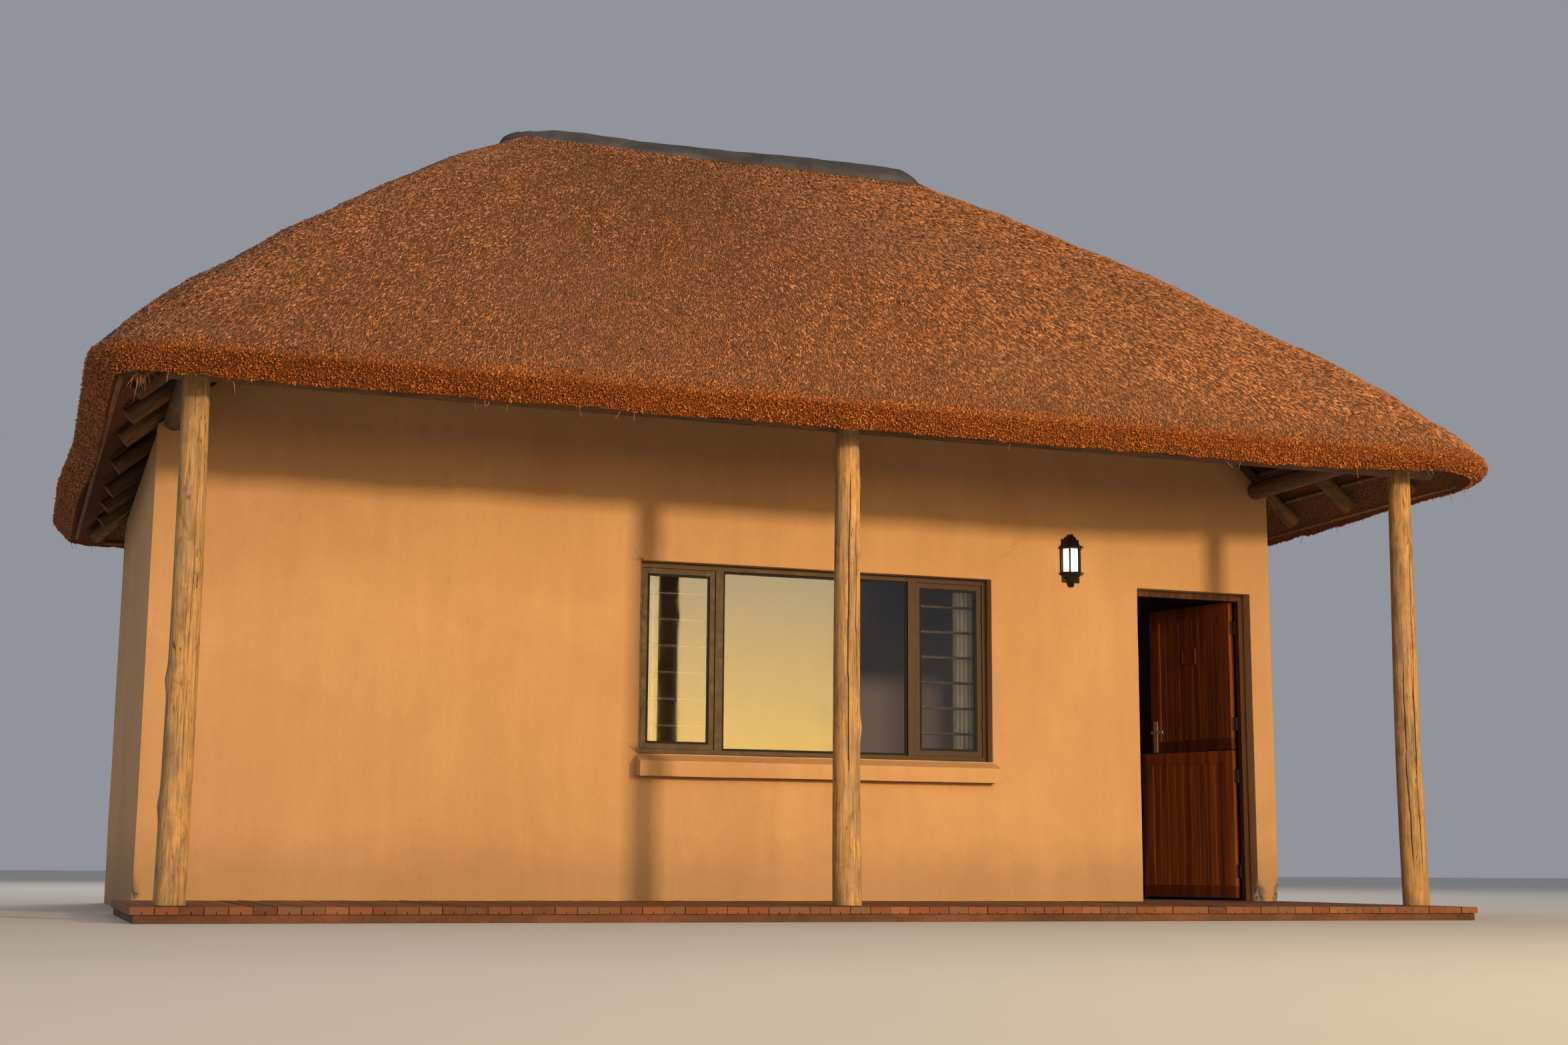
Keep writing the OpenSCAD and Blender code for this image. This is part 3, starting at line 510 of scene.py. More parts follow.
def rod(name, start, end, radius, sides, soft):
    """A round bar from a cylinder, laid between two points, with soft rims."""
    let_go()
    start, end = Vector(start), Vector(end)
    way = end - start
    bpy.ops.mesh.primitive_cylinder_add(vertices=sides, radius=radius, depth=way.length,
                                        location=(start + end) / 2,
                                        rotation=way.to_track_quat("Z", "Y").to_euler())
    piece = bpy.context.object
    piece.name = name
    bpy.ops.object.transform_apply()
    way.normalize()
    return ease(piece, soft, 2, lambda mid, line: abs(line.dot(way)) < 0.1)


def copies(piece, moves):
    """Copies of a finished piece, each with its own mesh, moved by the given steps."""
    made = []
    for step in moves:
        twin = piece.copy()
        twin.data = piece.data.copy()
        scene.collection.objects.link(twin)
        twin.data.transform(Matrix.Translation(Vector(step)))
        made.append(twin)
    return made


def gather(name, parts):
    """Joins the parts to one piece."""
    let_go()
    for part in parts:
        part.select_set(True)
    bpy.context.view_layer.objects.active = parts[0]
    if len(parts) > 1:
        bpy.ops.object.join()
    piece = bpy.context.object
    piece.name = name
    piece.data.name = name
    return piece


def lifted(label, *sources):
    """A new piece with the shape of some CAD nodes, their loose triangles joined."""
    made = []
    for source in sources:
        piece = bpy.data.objects.new(label, node[source].data.copy())
        scene.collection.objects.link(piece)
        made.append(settle(piece))
    return made


def fused(pieces, way="UNION"):
    """The first piece with the others added to it, or cut out of it."""
    first = pieces[0]
    for other in pieces[1:]:
        take(first)
        change = first.modifiers.new("change", "BOOLEAN")
        change.operation = way
        change.solver = "EXACT"
        change.object = other
        bpy.ops.object.modifier_apply(modifier="change")
        bpy.data.objects.remove(other)
    return first


def slice_up(piece, axis, places):
    """Cuts across one axis, so that long faces can bend."""
    take(piece)
    with editing():
        for place in places:
            spot, way = [0, 0, 0], [0, 0, 0]
            spot[axis], way[axis] = place, 1
            bpy.ops.mesh.select_all(action="SELECT")
            bpy.ops.mesh.bisect(plane_co=spot, plane_no=way)
    return piece


def uneven(piece, size, depth):
    """Hand-worked unevenness over a whole piece."""
    marks = bpy.data.textures.new(piece.name + "_marks", "CLOUDS")
    marks.noise_scale = size
    marks.noise_depth = 2
    take(piece)
    change = piece.modifiers.new("marks", "DISPLACE")
    change.texture = marks
    change.texture_coords = "LOCAL"
    change.strength = depth
    change.mid_level = 0.5
    bpy.ops.object.modifier_apply(modifier="marks")
    return piece


def surround(name, low, high, y, face, depth):
    """A mitred frame that faces -Y: a plane inset, opened and drawn out to its depth."""
    let_go()
    bpy.ops.mesh.primitive_plane_add(size=1, rotation=(math.pi / 2, 0, 0),
                                     location=((low[0] + high[0]) / 2, y, (low[1] + high[1]) / 2))
    piece = bpy.context.object
    piece.name = name
    piece.scale = (high[0] - low[0], high[1] - low[1], 1)
    bpy.ops.object.transform_apply()
    with editing():
        bpy.ops.mesh.inset(thickness=face, depth=0)
        bpy.ops.mesh.delete(type="FACE")
        bpy.ops.mesh.select_all(action="SELECT")
        bpy.ops.mesh.extrude_region_move(TRANSFORM_OT_translate={"value": (0, depth, 0)})
    return settle(piece)


def turned(name, foot, profile, sides):
    """A turned form: a disc drawn up and resized step by step through (height, radius)."""
    let_go()
    height, radius = profile[0]
    foot = Vector(foot)
    bpy.ops.mesh.primitive_circle_add(vertices=sides, radius=radius, fill_type="NGON",
                                      location=foot + Vector((0, 0, height)))
    piece = bpy.context.object
    piece.name = name
    bpy.ops.object.transform_apply()
    with editing():
        for up, wide in profile[1:]:
            bpy.ops.mesh.extrude_region_move(TRANSFORM_OT_translate={"value": (0, 0, up - height)})
            share = wide / radius
            bpy.ops.transform.resize(value=(share, share, 1), center_override=foot + Vector((0, 0, up)))
            height, radius = up, wide
    return settle(piece)


def soften(names, width):
    """Eased edges on CAD nodes that keep their shape."""
    for name in names.split():
        piece = node[name]
        weld = piece.modifiers.new("weld", "WELD")
        weld.merge_threshold = WELD_GAP
        edge = piece.modifiers.new("edge", "BEVEL")
        edge.width = width
        edge.segments = 2
        edge.limit_method = "ANGLE"
        edge.angle_limit = math.radians(40)
        edge.use_clamp_overlap = True
        edge.harden_normals = True


def hand_in(piece, body, finish, stands_for=(), smooth=35):
    """Gives a piece its finish and its body."""
    take(piece)
    if smooth:
        bpy.ops.object.shade_smooth_by_angle(angle=math.radians(smooth))
    piece.data.materials.clear()
    piece.data.materials.append(finish)
    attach(piece, body)
    if stands_for:
        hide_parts(*stands_for)
    return piece


def dress(names, finish):
    """Gives CAD nodes a finish on their own slots."""
    for name in names.split():
        mesh = node[name].data
        if not mesh.materials:
            mesh.materials.append(finish)
        for k in range(len(mesh.materials)):
            mesh.materials[k] = finish


def cast(name, points, faces):
    """A mesh from arrays: points by 3, and faces that all have as many corners."""
    mesh = bpy.data.meshes.new(name)
    faces = np.asarray(faces, np.int32)
    count, corners = faces.shape
    mesh.vertices.add(len(points))
    mesh.vertices.foreach_set("co", np.asarray(points, np.float32).ravel())
    mesh.loops.add(faces.size)
    mesh.loops.foreach_set("vertex_index", faces.ravel())
    mesh.polygons.add(count)
    mesh.polygons.foreach_set("loop_start", np.arange(0, faces.size, corners, dtype=np.int32))
    mesh.update(calc_edges=True)
    mesh.validate()
    piece = bpy.data.objects.new(name, mesh)
    scene.collection.objects.link(piece)
    return piece


def keep_value(piece, name, values):
    """Keeps one number for each point of the mesh."""
    held = piece.data.attributes.new(name, "FLOAT", "POINT")
    held.data.foreach_set("value", np.asarray(values, np.float32))


def keep_map(piece, name, values):
    """Keeps a UV map: two numbers for each corner of each face."""
    made = piece.data.uv_layers.new(name=name)
    made.data.foreach_set("uv", np.asarray(values, np.float32).ravel())


def points_of(piece):
    """The mesh's points as rows of x, y and z."""
    points = np.zeros(len(piece.data.vertices) * 3, np.float32)
    piece.data.vertices.foreach_get("co", points)
    return points.reshape(-1, 3)


def corners_of(piece):
    """The point that each corner of each face uses."""
    corner = np.zeros(len(piece.data.loops), np.int32)
    piece.data.loops.foreach_get("vertex_index", corner)
    return corner


# The roof's form, as the frame has it: eave, ridge and the straight underside

EAVE_A, EAVE_B, EAVE_Z, EAVE_R = 4.288, 3.14, 2.77, 0.45
TIP_R, TIP_FADE, TIP_LIFT = 0.3, 16, 0.045
LEFT_PULL, RIGHT_PULL = 0.062, 0.02
TOP_A, TOP_B, TOP_R, RISE, SWELL = 1.44, 0.06, 0.35, 2.43, 0.145
IN_A, IN_B, IN_Z, IN_RISE = 4.148, 3.05, 2.65, 2.35
IN_TOP_A, IN_TOP_B = 1.3937, 0.025
FRONT_N, SIDE_N, TURN_N = 100, 66, 22
AROUND = 2 * (FRONT_N + SIDE_N) + 4 * TURN_N


def ring(a, b, r, z, tip):
    """Points once round a rounded oblong, whose right front corner is rounder by the tip."""
    x, y, wide_r = a - r, b - r, r + tip
    tip_x, tip_y = a - wide_r, b - wide_r
    turn = np.linspace(0, math.pi / 2, TURN_N, endpoint=False)

    def bend(px, py, start, radius):
        return np.stack([px + radius * np.cos(turn + start), py + radius * np.sin(turn + start)], 1)

    def straight(start, end, count):
        return np.linspace(start, end, count, endpoint=False)

    quarter = math.pi / 2
    flat = np.concatenate([
        straight((-x, -b), (tip_x, -b), FRONT_N), bend(tip_x, -tip_y, -quarter, wide_r),
        straight((a, -tip_y), (a, y), SIDE_N), bend(x, y, 0, r),
        straight((x, b), (-x, b), FRONT_N), bend(-x, y, quarter, r),
        straight((-a, y), (-a, -y), SIDE_N), bend(-x, -y, 2 * quarter, r)])
    return np.column_stack([flat, np.full(AROUND, z)])


def drawn_in(row, t):
    """The eaves lean in a little towards the veranda, at the left end most."""
    share = (1 - t) ** TIP_FADE * np.abs(row[:, 0]) / EAVE_A
    row[:, 0] += LEFT_PULL * share * ((1.0 - row[:, 1]) / 1.4).clip(0, 1) * (row[:, 0] < 0)
    row[:, 0] -= RIGHT_PULL * share * ((1.0 - row[:, 1]) / 3.0).clip(0, 1) * (row[:, 0] > 0)
    return row


def tip_lift(row):
    """How much higher the eave's lower edge lies near its right front corner."""
    return TIP_LIFT * ((-0.8 - row[:, 1]) / 2).clip(0, 1) * ((row[:, 0] - 2.6) / 1.4).clip(0, 1)


def outer_ring(t, grow=0.0, lift=0.0):
    """The slope's outer face, a share t of the way from the eave to the ridge."""
    a = EAVE_A * (1 - t) + TOP_A * t + grow
    b = EAVE_B * (1 - t) + TOP_B * t + grow
    r = max(0.002, min(EAVE_R * (1 - t) + TOP_R * t + grow, b - 0.004))
    z = EAVE_Z + RISE * t + SWELL * 4 * t * (1 - t) + lift
    return drawn_in(ring(a, b, r, z, TIP_R * (1 - t) ** TIP_FADE), t)


def inner_ring(t):
    """The thatch's underside at the same share."""
    a = IN_A * (1 - t) + IN_TOP_A * t
    b = IN_B * (1 - t) + IN_TOP_B * t
    r = min(0.15 * (1 - t) ** 6 + 0.02, b - 0.005)
    return drawn_in(ring(a, b, r, IN_Z + IN_RISE * t, (TIP_R + 0.15) * (1 - t) ** TIP_FADE), t)


FULL_TURN = 6.283
WAVES = [(chance.normal(size=3), chance.uniform(0, 6.28)) for k in range(26)]


def roll(points, longest, shortest):
    """Soft seeded swells over a surface, from -1 to 1."""
    total = np.zeros(len(points))
    for k, (way, phase) in enumerate(WAVES):
        size = longest * (shortest / longest) ** (k / (len(WAVES) - 1))
        total += np.sin(points @ (way / np.linalg.norm(way)) * (FULL_TURN / size) + phase)
    return total / math.sqrt(len(WAVES) * 2)


def skin(name, rows):
    """A closed skin over rings that all have the same count, with a face over each end."""
    n = len(rows[0])
    k = np.arange(n)
    q = (k + 1) % n
    faces = np.concatenate([np.stack([j * n + k, j * n + q, (j + 1) * n + q, (j + 1) * n + k], 1)
                            for j in range(len(rows) - 1)])
    piece = cast(name, np.concatenate(rows), faces)
    take(piece)
    with editing("DESELECT"):
        bpy.ops.mesh.select_mode(type="EDGE")
        bpy.ops.mesh.select_non_manifold()
        bpy.ops.mesh.edge_face_add()
    return piece


def thatch_rows():
    """Rings from the crown's underside down to the eave, round the cut and up the slope."""
    under = [inner_ring(t) for t in 1 - np.linspace(0, 1, 18) ** 0.6]
    low, high = inner_ring(0), outer_ring(0, -0.012, -0.008)
    cut = []
    for share, puff in ((0.25, 0.010), (0.55, 0.013), (0.8, 0.006)):
        row = low * (1 - share) + high * share
        out = row[:, :2] / np.linalg.norm(row[:, :2], axis=1, keepdims=True)
        row[:, :2] += out * puff * 0.6
        cut.append(row)
    wave = roll(low * [1, 1, 0], 1.6, 0.12)
    ripple = roll(low * [1, 1, 0] + 5, 0.35, 0.06)
    low = low.copy()
    low[:, 2] += tip_lift(low)
    cut[0][:, 2] += tip_lift(low) * 0.7
    low[:, 2] += -0.002 + 0.007 * wave + 0.006 * ripple
    cut[0][:, 2] += 0.006 * wave + 0.005 * ripple
    under[-1] = low
    slope = [outer_ring(t, -0.004 if t < 0.02 else 0.0) for t in
             np.concatenate([[0.008], np.linspace(0.02, 1, 50)])]
    top = []
    for row in slope:
        ahead = np.roll(row, -1, axis=0) - np.roll(row, 1, axis=0)
        ahead /= np.maximum(np.linalg.norm(ahead, axis=1, keepdims=True), 1e-6)
        out = np.cross(ahead, [0, 0, 1])
        share = (row[:, 2] - EAVE_Z) / RISE
        swell = 0.011 * roll(row, 1.5, 0.35) + 0.005 * roll(row + 9, 0.4, 0.14)
        swell += 0.026 * np.exp(-((row[:, 0] + 2.0) / 0.4) ** 2)
        swell -= 0.018 * np.exp(-((row[:, 0] - 2.9) / 0.3) ** 2)
        swell *= np.clip(share * 14, 0.15, 1) * np.clip((1 - share) * 12, 0, 1)
        way = out * 0.6 + np.array([0, 0, 0.8])
        top.append(row + way * swell[:, None])
    return under, cut + [high], top


def thatch_shell():
    """The thatch's closed skin, with a map of metres round the eave and up the slope."""
    rows = under_rows + cut_rows + top_rows
    thatch = skin("thatch_shell", rows)
    middle = np.stack(rows)[:, FRONT_N // 2]
    up_slope = np.concatenate([[0], np.cumsum(np.linalg.norm(np.diff(middle, axis=0), axis=1))])
    eave = under_rows[-1]
    around = np.concatenate([[0], np.cumsum(np.linalg.norm(np.roll(eave, -1, 0) - eave, axis=1))])
    corner = corners_of(thatch)
    column = corner % AROUND
    quad = np.arange(len(corner)) // 4
    seam = (column == 0) & (quad < (len(rows) - 1) * AROUND) & (quad % AROUND == AROUND - 1)
    along_eave = around[np.where(seam, AROUND, column)]
    keep_map(thatch, "lay", np.column_stack([along_eave, up_slope[corner // AROUND]]))
    cut_first, cut_end = len(under_rows) - 1, len(under_rows) + len(cut_rows)
    on_cut = [float(cut_first <= k < cut_end) for k in range(len(rows))]
    keep_value(thatch, "cut", np.repeat(on_cut, AROUND))
    hand_in(thatch, "root", packed_thatch,
            ("thatch_front", "thatch_right", "thatch_back", "thatch_left"), smooth=50)


under_rows, cut_rows, top_rows = thatch_rows()
thatch_shell()


def straws(name, rows, per_area, length, width, proud, finish, columns=slice(None), face_out=False,
           clump=(0.1, 0.022), even=1.0, spread=0.21):
    """Straws on the quads between rings: each is a thin wedge with its cut end low."""
    lean, sink = 0.2, 0.007
    low, high = rows[:-1], rows[1:]
    corners = (low, np.roll(low, -1, axis=1), high, np.roll(high, -1, axis=1))
    p00, p10, p01, p11 = (p[:, columns].reshape(-1, 3) for p in corners)
    area = np.linalg.norm(np.cross(p11 - p00, p01 - p10), axis=1) / 2
    count = np.floor(area * per_area + chance.random(len(area))).astype(int)
    which = np.repeat(np.arange(len(area)), count)
    s = chance.random(len(which))[:, None]
    v = chance.random(len(which))[:, None]
    a, b, c, d = p00[which], p10[which], p01[which], p11[which]
    foot = (a * (1 - s) + b * s) * (1 - v) + (c * (1 - s) + d * s) * v
    fall = (a - c) * (1 - s) + (b - d) * s
    across = (b - a) * (1 - v) + (d - c) * v
    fall /= np.maximum(np.linalg.norm(fall, axis=1, keepdims=True), 1e-9)
    normal = np.cross(across, -fall)
    normal /= np.maximum(np.linalg.norm(normal, axis=1, keepdims=True), 1e-9)
    tuft = roll(foot, 0.5, 0.07)
    knot = roll(foot[:, [1, 0, 2]] + 7, *clump)
    full = even * knot > chance.uniform(-1.5, -0.1, len(foot))
    foot, fall, normal, tuft, knot = (part[full] for part in (foot, fall, normal, tuft, knot))
    if face_out:
        fall, normal = normal, -fall
    swing = (lean * chance.normal(size=len(foot)) + 0.5 * lean * tuft)[:, None]
    wide = np.cross(fall, normal)
    combed = roll(np.column_stack([(foot * wide).sum(1), 0.1 * (foot * fall).sum(1), 0 * knot]), 0.22, 0.03)
    way = fall * np.cos(swing) + wide * np.sin(swing)
    wide = np.cross(way, normal)

    def draw(span):
        return chance.uniform(span[0], span[1], len(foot))[:, None]

    long, broad = draw(length), draw(width)
    rise = draw(proud) * np.clip(0.85 + 0.5 * even * knot, 0.2, 1.6)[:, None]
    half = wide * broad / 2
    if face_out:
        end = foot + way * rise
        base = end - normal * broad * 0.3
        shape = [base - half, base + half, end + normal * broad * 0.55, foot - way * long]
    else:
        base = foot - normal * 0.002
        shape = [base - half, base + half, foot + normal * rise, foot - way * long - normal * sink]
    points = np.stack(shape, 1).reshape(-1, 3)
    first = np.arange(len(foot))[:, None, None] * 4
    faces = (first + np.array([[0, 2, 1], [0, 3, 2], [1, 2, 3], [0, 1, 3]])).reshape(-1, 3)
    piece = cast(name, np.clip(points, *cad_box), faces)
    tone = 0.42 + spread * chance.normal(size=len(foot)) + even * (0.1 * tuft + 0.16 * knot) + 0.13 * combed
    keep_value(piece, "tone", np.repeat(np.clip(tone, 0, 1), 4))
    hand_in(piece, "root", finish, smooth=0)


def straw_coat():
    """Straw ends over the slopes, in pieces that meet on the hips, and over the eave's cut face."""
    hips = np.cumsum([FRONT_N, TURN_N + SIDE_N, TURN_N + FRONT_N, TURN_N + SIDE_N]) + TURN_N // 2
    hip_a, hip_b, hip_c, hip_d = hips
    k = np.arange(AROUND)
    slope = np.stack(top_rows[1:-2])
    for name, columns, per_area in (
            ("straw_front_left", (k < FRONT_N // 2) | (k >= hip_d), 4050),
            ("straw_front_right", (k >= FRONT_N // 2) & (k < hip_a), 4050),
            ("straw_right", (k >= hip_a) & (k < hip_b), 1800),
            ("straw_back", (k >= hip_b) & (k < hip_c), 820),
            ("straw_left", (k >= hip_c) & (k < hip_d), 1800)):
        straws(name, slope, per_area, (0.05, 0.11), (0.0045, 0.0075), (0.003, 0.008), straw_roof,
               columns, even=0.4)
    straws("straw_cut", np.stack([under_rows[-1]] + cut_rows + top_rows[:2]), 7700, (0.02, 0.03),
           (0.007, 0.011), (0.002, 0.011), straw_cut, face_out=True, clump=(0.07, 0.02), spread=0.2)


straw_coat()


def loose_straws():
    """Single straws that have slipped and hang from the eave, thickest at the left end."""
    left_bunch = np.array([-3.962, -2.9, 2.70])
    spots, lengths = [], []
    low = under_rows[-1]
    for k in range(36):
        place = low[int(chance.integers(0, AROUND))] + chance.normal(size=3) * [0.02, 0.01, 0.002]
        spots.append(place * [0.994, 0.994, 1] + [0, 0, 0.015])
        lengths.append(chance.uniform(0.03, 0.07))
    for k in range(22):
        spots.append(left_bunch + chance.normal(size=3) * [0.012, 0.012, 0.004])
        lengths.append(chance.uniform(0.06, 0.1) if k else 0.15)
    points, faces, tones = [], [], []
    for root, long in zip(spots, lengths):
        way = np.array([0.4 * chance.normal(), 0.4 * chance.normal(), -1.0])
        way /= np.linalg.norm(way)
        wide = np.cross(way, [0.3, 1, 0.1])
        wide /= np.linalg.norm(wide)
        deep = np.cross(way, wide)
        base = len(points)
        for share, thick in ((0, 0.0022), (0.5, 0.002), (1, 0.0012)):
            middle = root + way * long * share + np.array([0, 0, -0.02 * share * share])
            middle = middle + wide * 0.012 * share * chance.normal()
            for turn in (0, 2.094, 4.189):
                points.append(middle + thick * (math.cos(turn) * wide + math.sin(turn) * deep))
            tones += [chance.uniform(0.2, 0.7)] * 3
        for ring_at in (0, 3):
            for k in range(3):
                a, b = base + ring_at + k, base + ring_at + (k + 1) % 3
                faces += [[a, b, b + 3], [a, b + 3, a + 3]]
        faces += [[base, base + 2, base + 1], [base + 6, base + 7, base + 8]]
    piece = cast("straw_loose", np.array(points), faces)
    keep_value(piece, "tone", tones)
    settle(piece)
    hand_in(piece, "root", straw_roof, smooth=0)


loose_straws()


# Laths and hip poles, cut back where the eave's right front corner is rounder

def cut_back(points, axis, start):
    """Shortens what reaches past a place on one axis."""
    past = (np.sign(start) * points[:, axis] - abs(start)).clip(0)
    points[:, axis] -= np.sign(start) * 0.4 * past


def fit_laths(points):
    """Lays the lowest laths along the rounder, lifted eave."""
    lowest = points[:, 2] < 2.7
    low = points[lowest]
    front, end = low[:, 1] < -2.95, low[:, 0] > 4.05
    for side, axis, start in ((front, 0, 3.3), (end, 1, -2.2)):
        part = low[side]
        cut_back(part, axis, start)
        low[side] = part
    low[:, 2] += tip_lift(low)
    points[lowest] = low
    drawn_in(points, ((points[:, 2] - IN_Z) / IN_RISE).clip(0, 1))


def fit_hips(points):
    """Shortens the right front hip pole along its own line."""
    past = (points[:, 0] - 3.7).clip(0) * (points[:, 1] < 0) * 0.6
    points += past[:, None] * np.array([-1.0, 1.108, 0.88])


def cut_back_poles():
    """The laths and hip rafters again, fitted to the eave at that corner."""
    finish = pole_wood("pole_small", (1, 0, 0), *ROOF_POLE)
    for name, source, slot, fit in (("lath_poles", "laths", "lath", fit_laths),
                                    ("hip_poles", "hip_rafters", "roof_pole", fit_hips)):
        poles = lifted(name, source)[0]
        points = points_of(poles)
        fit(points)
        poles.data.vertices.foreach_set("co", points.ravel())
        poles.data.update()
        hand_in(poles, "root", finish, (source,), smooth=40)


cut_back_poles()


# Mortar ridge cap, trowelled over the crown with its ends turned up

CAP_LINE = ((-1.6, 0.0), (-1.5, -0.028), (-1.46, -0.05), (-1.385, -0.052), (-1.245, -0.031), (-1.03, -0.021),
            (-0.6, -0.026), (-0.13, -0.022), (0.33, -0.005), (0.8, 0.007), (1.19, 0.012), (1.3, 0.004),
            (1.36, 0.008), (1.45, 0.02))
CAP_SHORTER = 0.13
# Rings of the cap: share of the slope, growth, lift, and how much of the uneven line each takes
CAP_STEPS = (
    (1, -0.05, -0.05, 0), (0.957, -0.01, -0.03, 0), (0.950, 0.008, -0.008, 0.4),
    (0.950, 0.017, -0.004, 0.5), (0.9505, 0.0215, 0.006, 0.6), (0.952, 0.024, 0.022, 0.8),
    (0.957, 0.0245, 0.038, 1), (0.968, 0.025, 0.045, 1), (0.985, 0.025, 0.049, 1),
    (1, 0.022, 0.052, 1), (1, 0.008, 0.0595, 1), (1, -0.008, 0.0645, 1),
    (1, -0.025, 0.0695, 1), (1, -0.042, 0.073, 1), (1, -0.055, 0.0745, 1),
)


def cap_row(t, grow, lift, share):
    """One ring of the cap, moved by its uneven line and a hand's drift."""
    row = outer_ring(t, grow, lift)
    row[:, 0] -= CAP_SHORTER * (row[:, 0] / 1.55).clip(0, 1) ** 3
    drift = roll(row * [1, 1, 0] + 3, 1.1, 0.2)
    row[:, 2] += share * (np.interp(row[:, 0], *np.array(CAP_LINE).T) - 0.002 + 0.004 * drift)
    out = row[:, :2] / np.maximum(np.linalg.norm(row[:, :2], axis=1, keepdims=True), 1e-6)
    row[:, :2] += out * (share * 0.004 * drift)[:, None]
    return row


hand_in(skin("mortar_cap", [cap_row(*step) for step in CAP_STEPS]), "root", mortar,
        ("ridge_cap",), smooth=60)


# Plastered walls: one shell with rounded corners, worn and chipped at its foot

WALLS = ("front_wall_left", "front_wall_under_window", "front_wall_middle", "front_wall_right",
         "front_wall_head", "left_wall", "right_wall", "back_wall", "window_sill")


def plaster_shell():
    """All walls and the sill as one coat, with rounded corners and its chips broken out."""
    shell = fused(lifted("plaster_walls", *WALLS))
    take(shell)
    with editing():
        bpy.ops.mesh.dissolve_limited(angle_limit=math.radians(0.5))
        bpy.ops.mesh.select_all(action="DESELECT")
        bpy.ops.mesh.select_mode(type="EDGE")
        bpy.ops.mesh.edges_select_sharp(sharpness=math.radians(30))
    for e in shell.data.edges:
        a, b = (shell.data.vertices[k].co for k in e.vertices)
        if a.z < 0.001 and b.z < 0.001:
            e.select = False
    bpy.ops.object.mode_set(mode="EDIT")
    bpy.ops.mesh.bevel(offset=0.011, segments=3, affect="EDGES", clamp_overlap=True)
    bpy.ops.object.mode_set(mode="OBJECT")
    for axis, low, high in ((0, -3.7, 3.7), (1, -0.9, 2.7), (2, 0.1, 3.9)):
        slice_up(shell, axis, np.arange(low, high, 0.16))
    uneven(shell, 0.42, 0.006)
    uneven(shell, 0.11, 0.0022)
    for point in shell.data.vertices:
        point.co.z = max(point.co.z, 0.0)
    for place, _, size in CHIPS:
        let_go()
        bpy.ops.mesh.primitive_ico_sphere_add(subdivisions=3, radius=1, location=place)
        ball = bpy.context.object
        ball.name = "chip"
        ball.scale = size
        bpy.ops.object.transform_apply()
        uneven(ball, 0.02, 0.012)
        fused([shell, ball], "DIFFERENCE")
    return shell


hand_in(plaster_shell(), "root", plaster, WALLS, smooth=40)


# Deck boards: one board is shaped, then laid side by side, each a little its own way

def deck_boards():
    """Boards laid from end to end, each cupped, bent and cut a little its own way."""
    low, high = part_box("veranda_deck")
    count, gap = 67, 0.003
    pitch = (high.x - low.x) / count
    wide = pitch - gap
    middle = low.x + wide / 2
    board = block("deck_board", (low.x, low.y, low.z), (low.x + wide, high.y, high.z))
    ease(board, 0.004, 2, lambda mid, way: abs(way.y) > 0.9 and mid.z > high.z - 0.001)
    ease(board, 0.0015, 1, lambda mid, way: mid.y < low.y + 0.002 and abs(way.y) < 0.1)
    kerf = block("kerf", (middle - 0.002, low.y - 0.01, low.z - 0.01),
                 (middle + 0.002, high.y + 0.01, low.z + 0.013))
    fused([board, kerf], "DIFFERENCE")
    slice_up(board, 1, np.arange(low.y + 0.25, high.y, 0.34))
    parts = [board] + copies(board, [(k * pitch, 0, 0) for k in range(1, count)])
    for k, part in enumerate(parts):
        points = points_of(part)
        across = points[:, 0] - (middle + k * pitch)
        deep = points[:, 2] - low.z
        share = (points[:, 1] - low.y) / (high.y - low.y)
        points[:, 1] += np.where(share < 0.05, chance.uniform(0, 0.006), 0)
        cup = across * chance.normal() * 0.014
        dip = chance.uniform(0.0, 0.0016) * (1 + np.sin(share * 9 + k)) / 2
        points[:, 2] += np.where(deep > 0.02, cup - dip - 0.0006, 0)
        points[:, 0] += 0.0006 * np.sin(share * 6 + 2.1 * k)
        part.data.vertices.foreach_set("co", points.ravel())
        keep_value(part, "tone", np.full(len(points), chance.uniform(0, 1)))
        corner = corners_of(part)
        heart_x, heart_z = chance.uniform(-0.05, 0.05), chance.uniform(-0.11, 0.012)
        keep_map(part, "heart", np.column_stack([across[corner] - heart_x, deep[corner] - heart_z]))
    return gather("deck_boards", parts)


hand_in(deck_boards(), "root", deck_finish, ("veranda_deck",), smooth=30)


# Posts: bowed gum poles with knots and long drying cracks

POST_Y, POST_FOOT, POST_HEAD = -2.63, 0.08, 2.7735


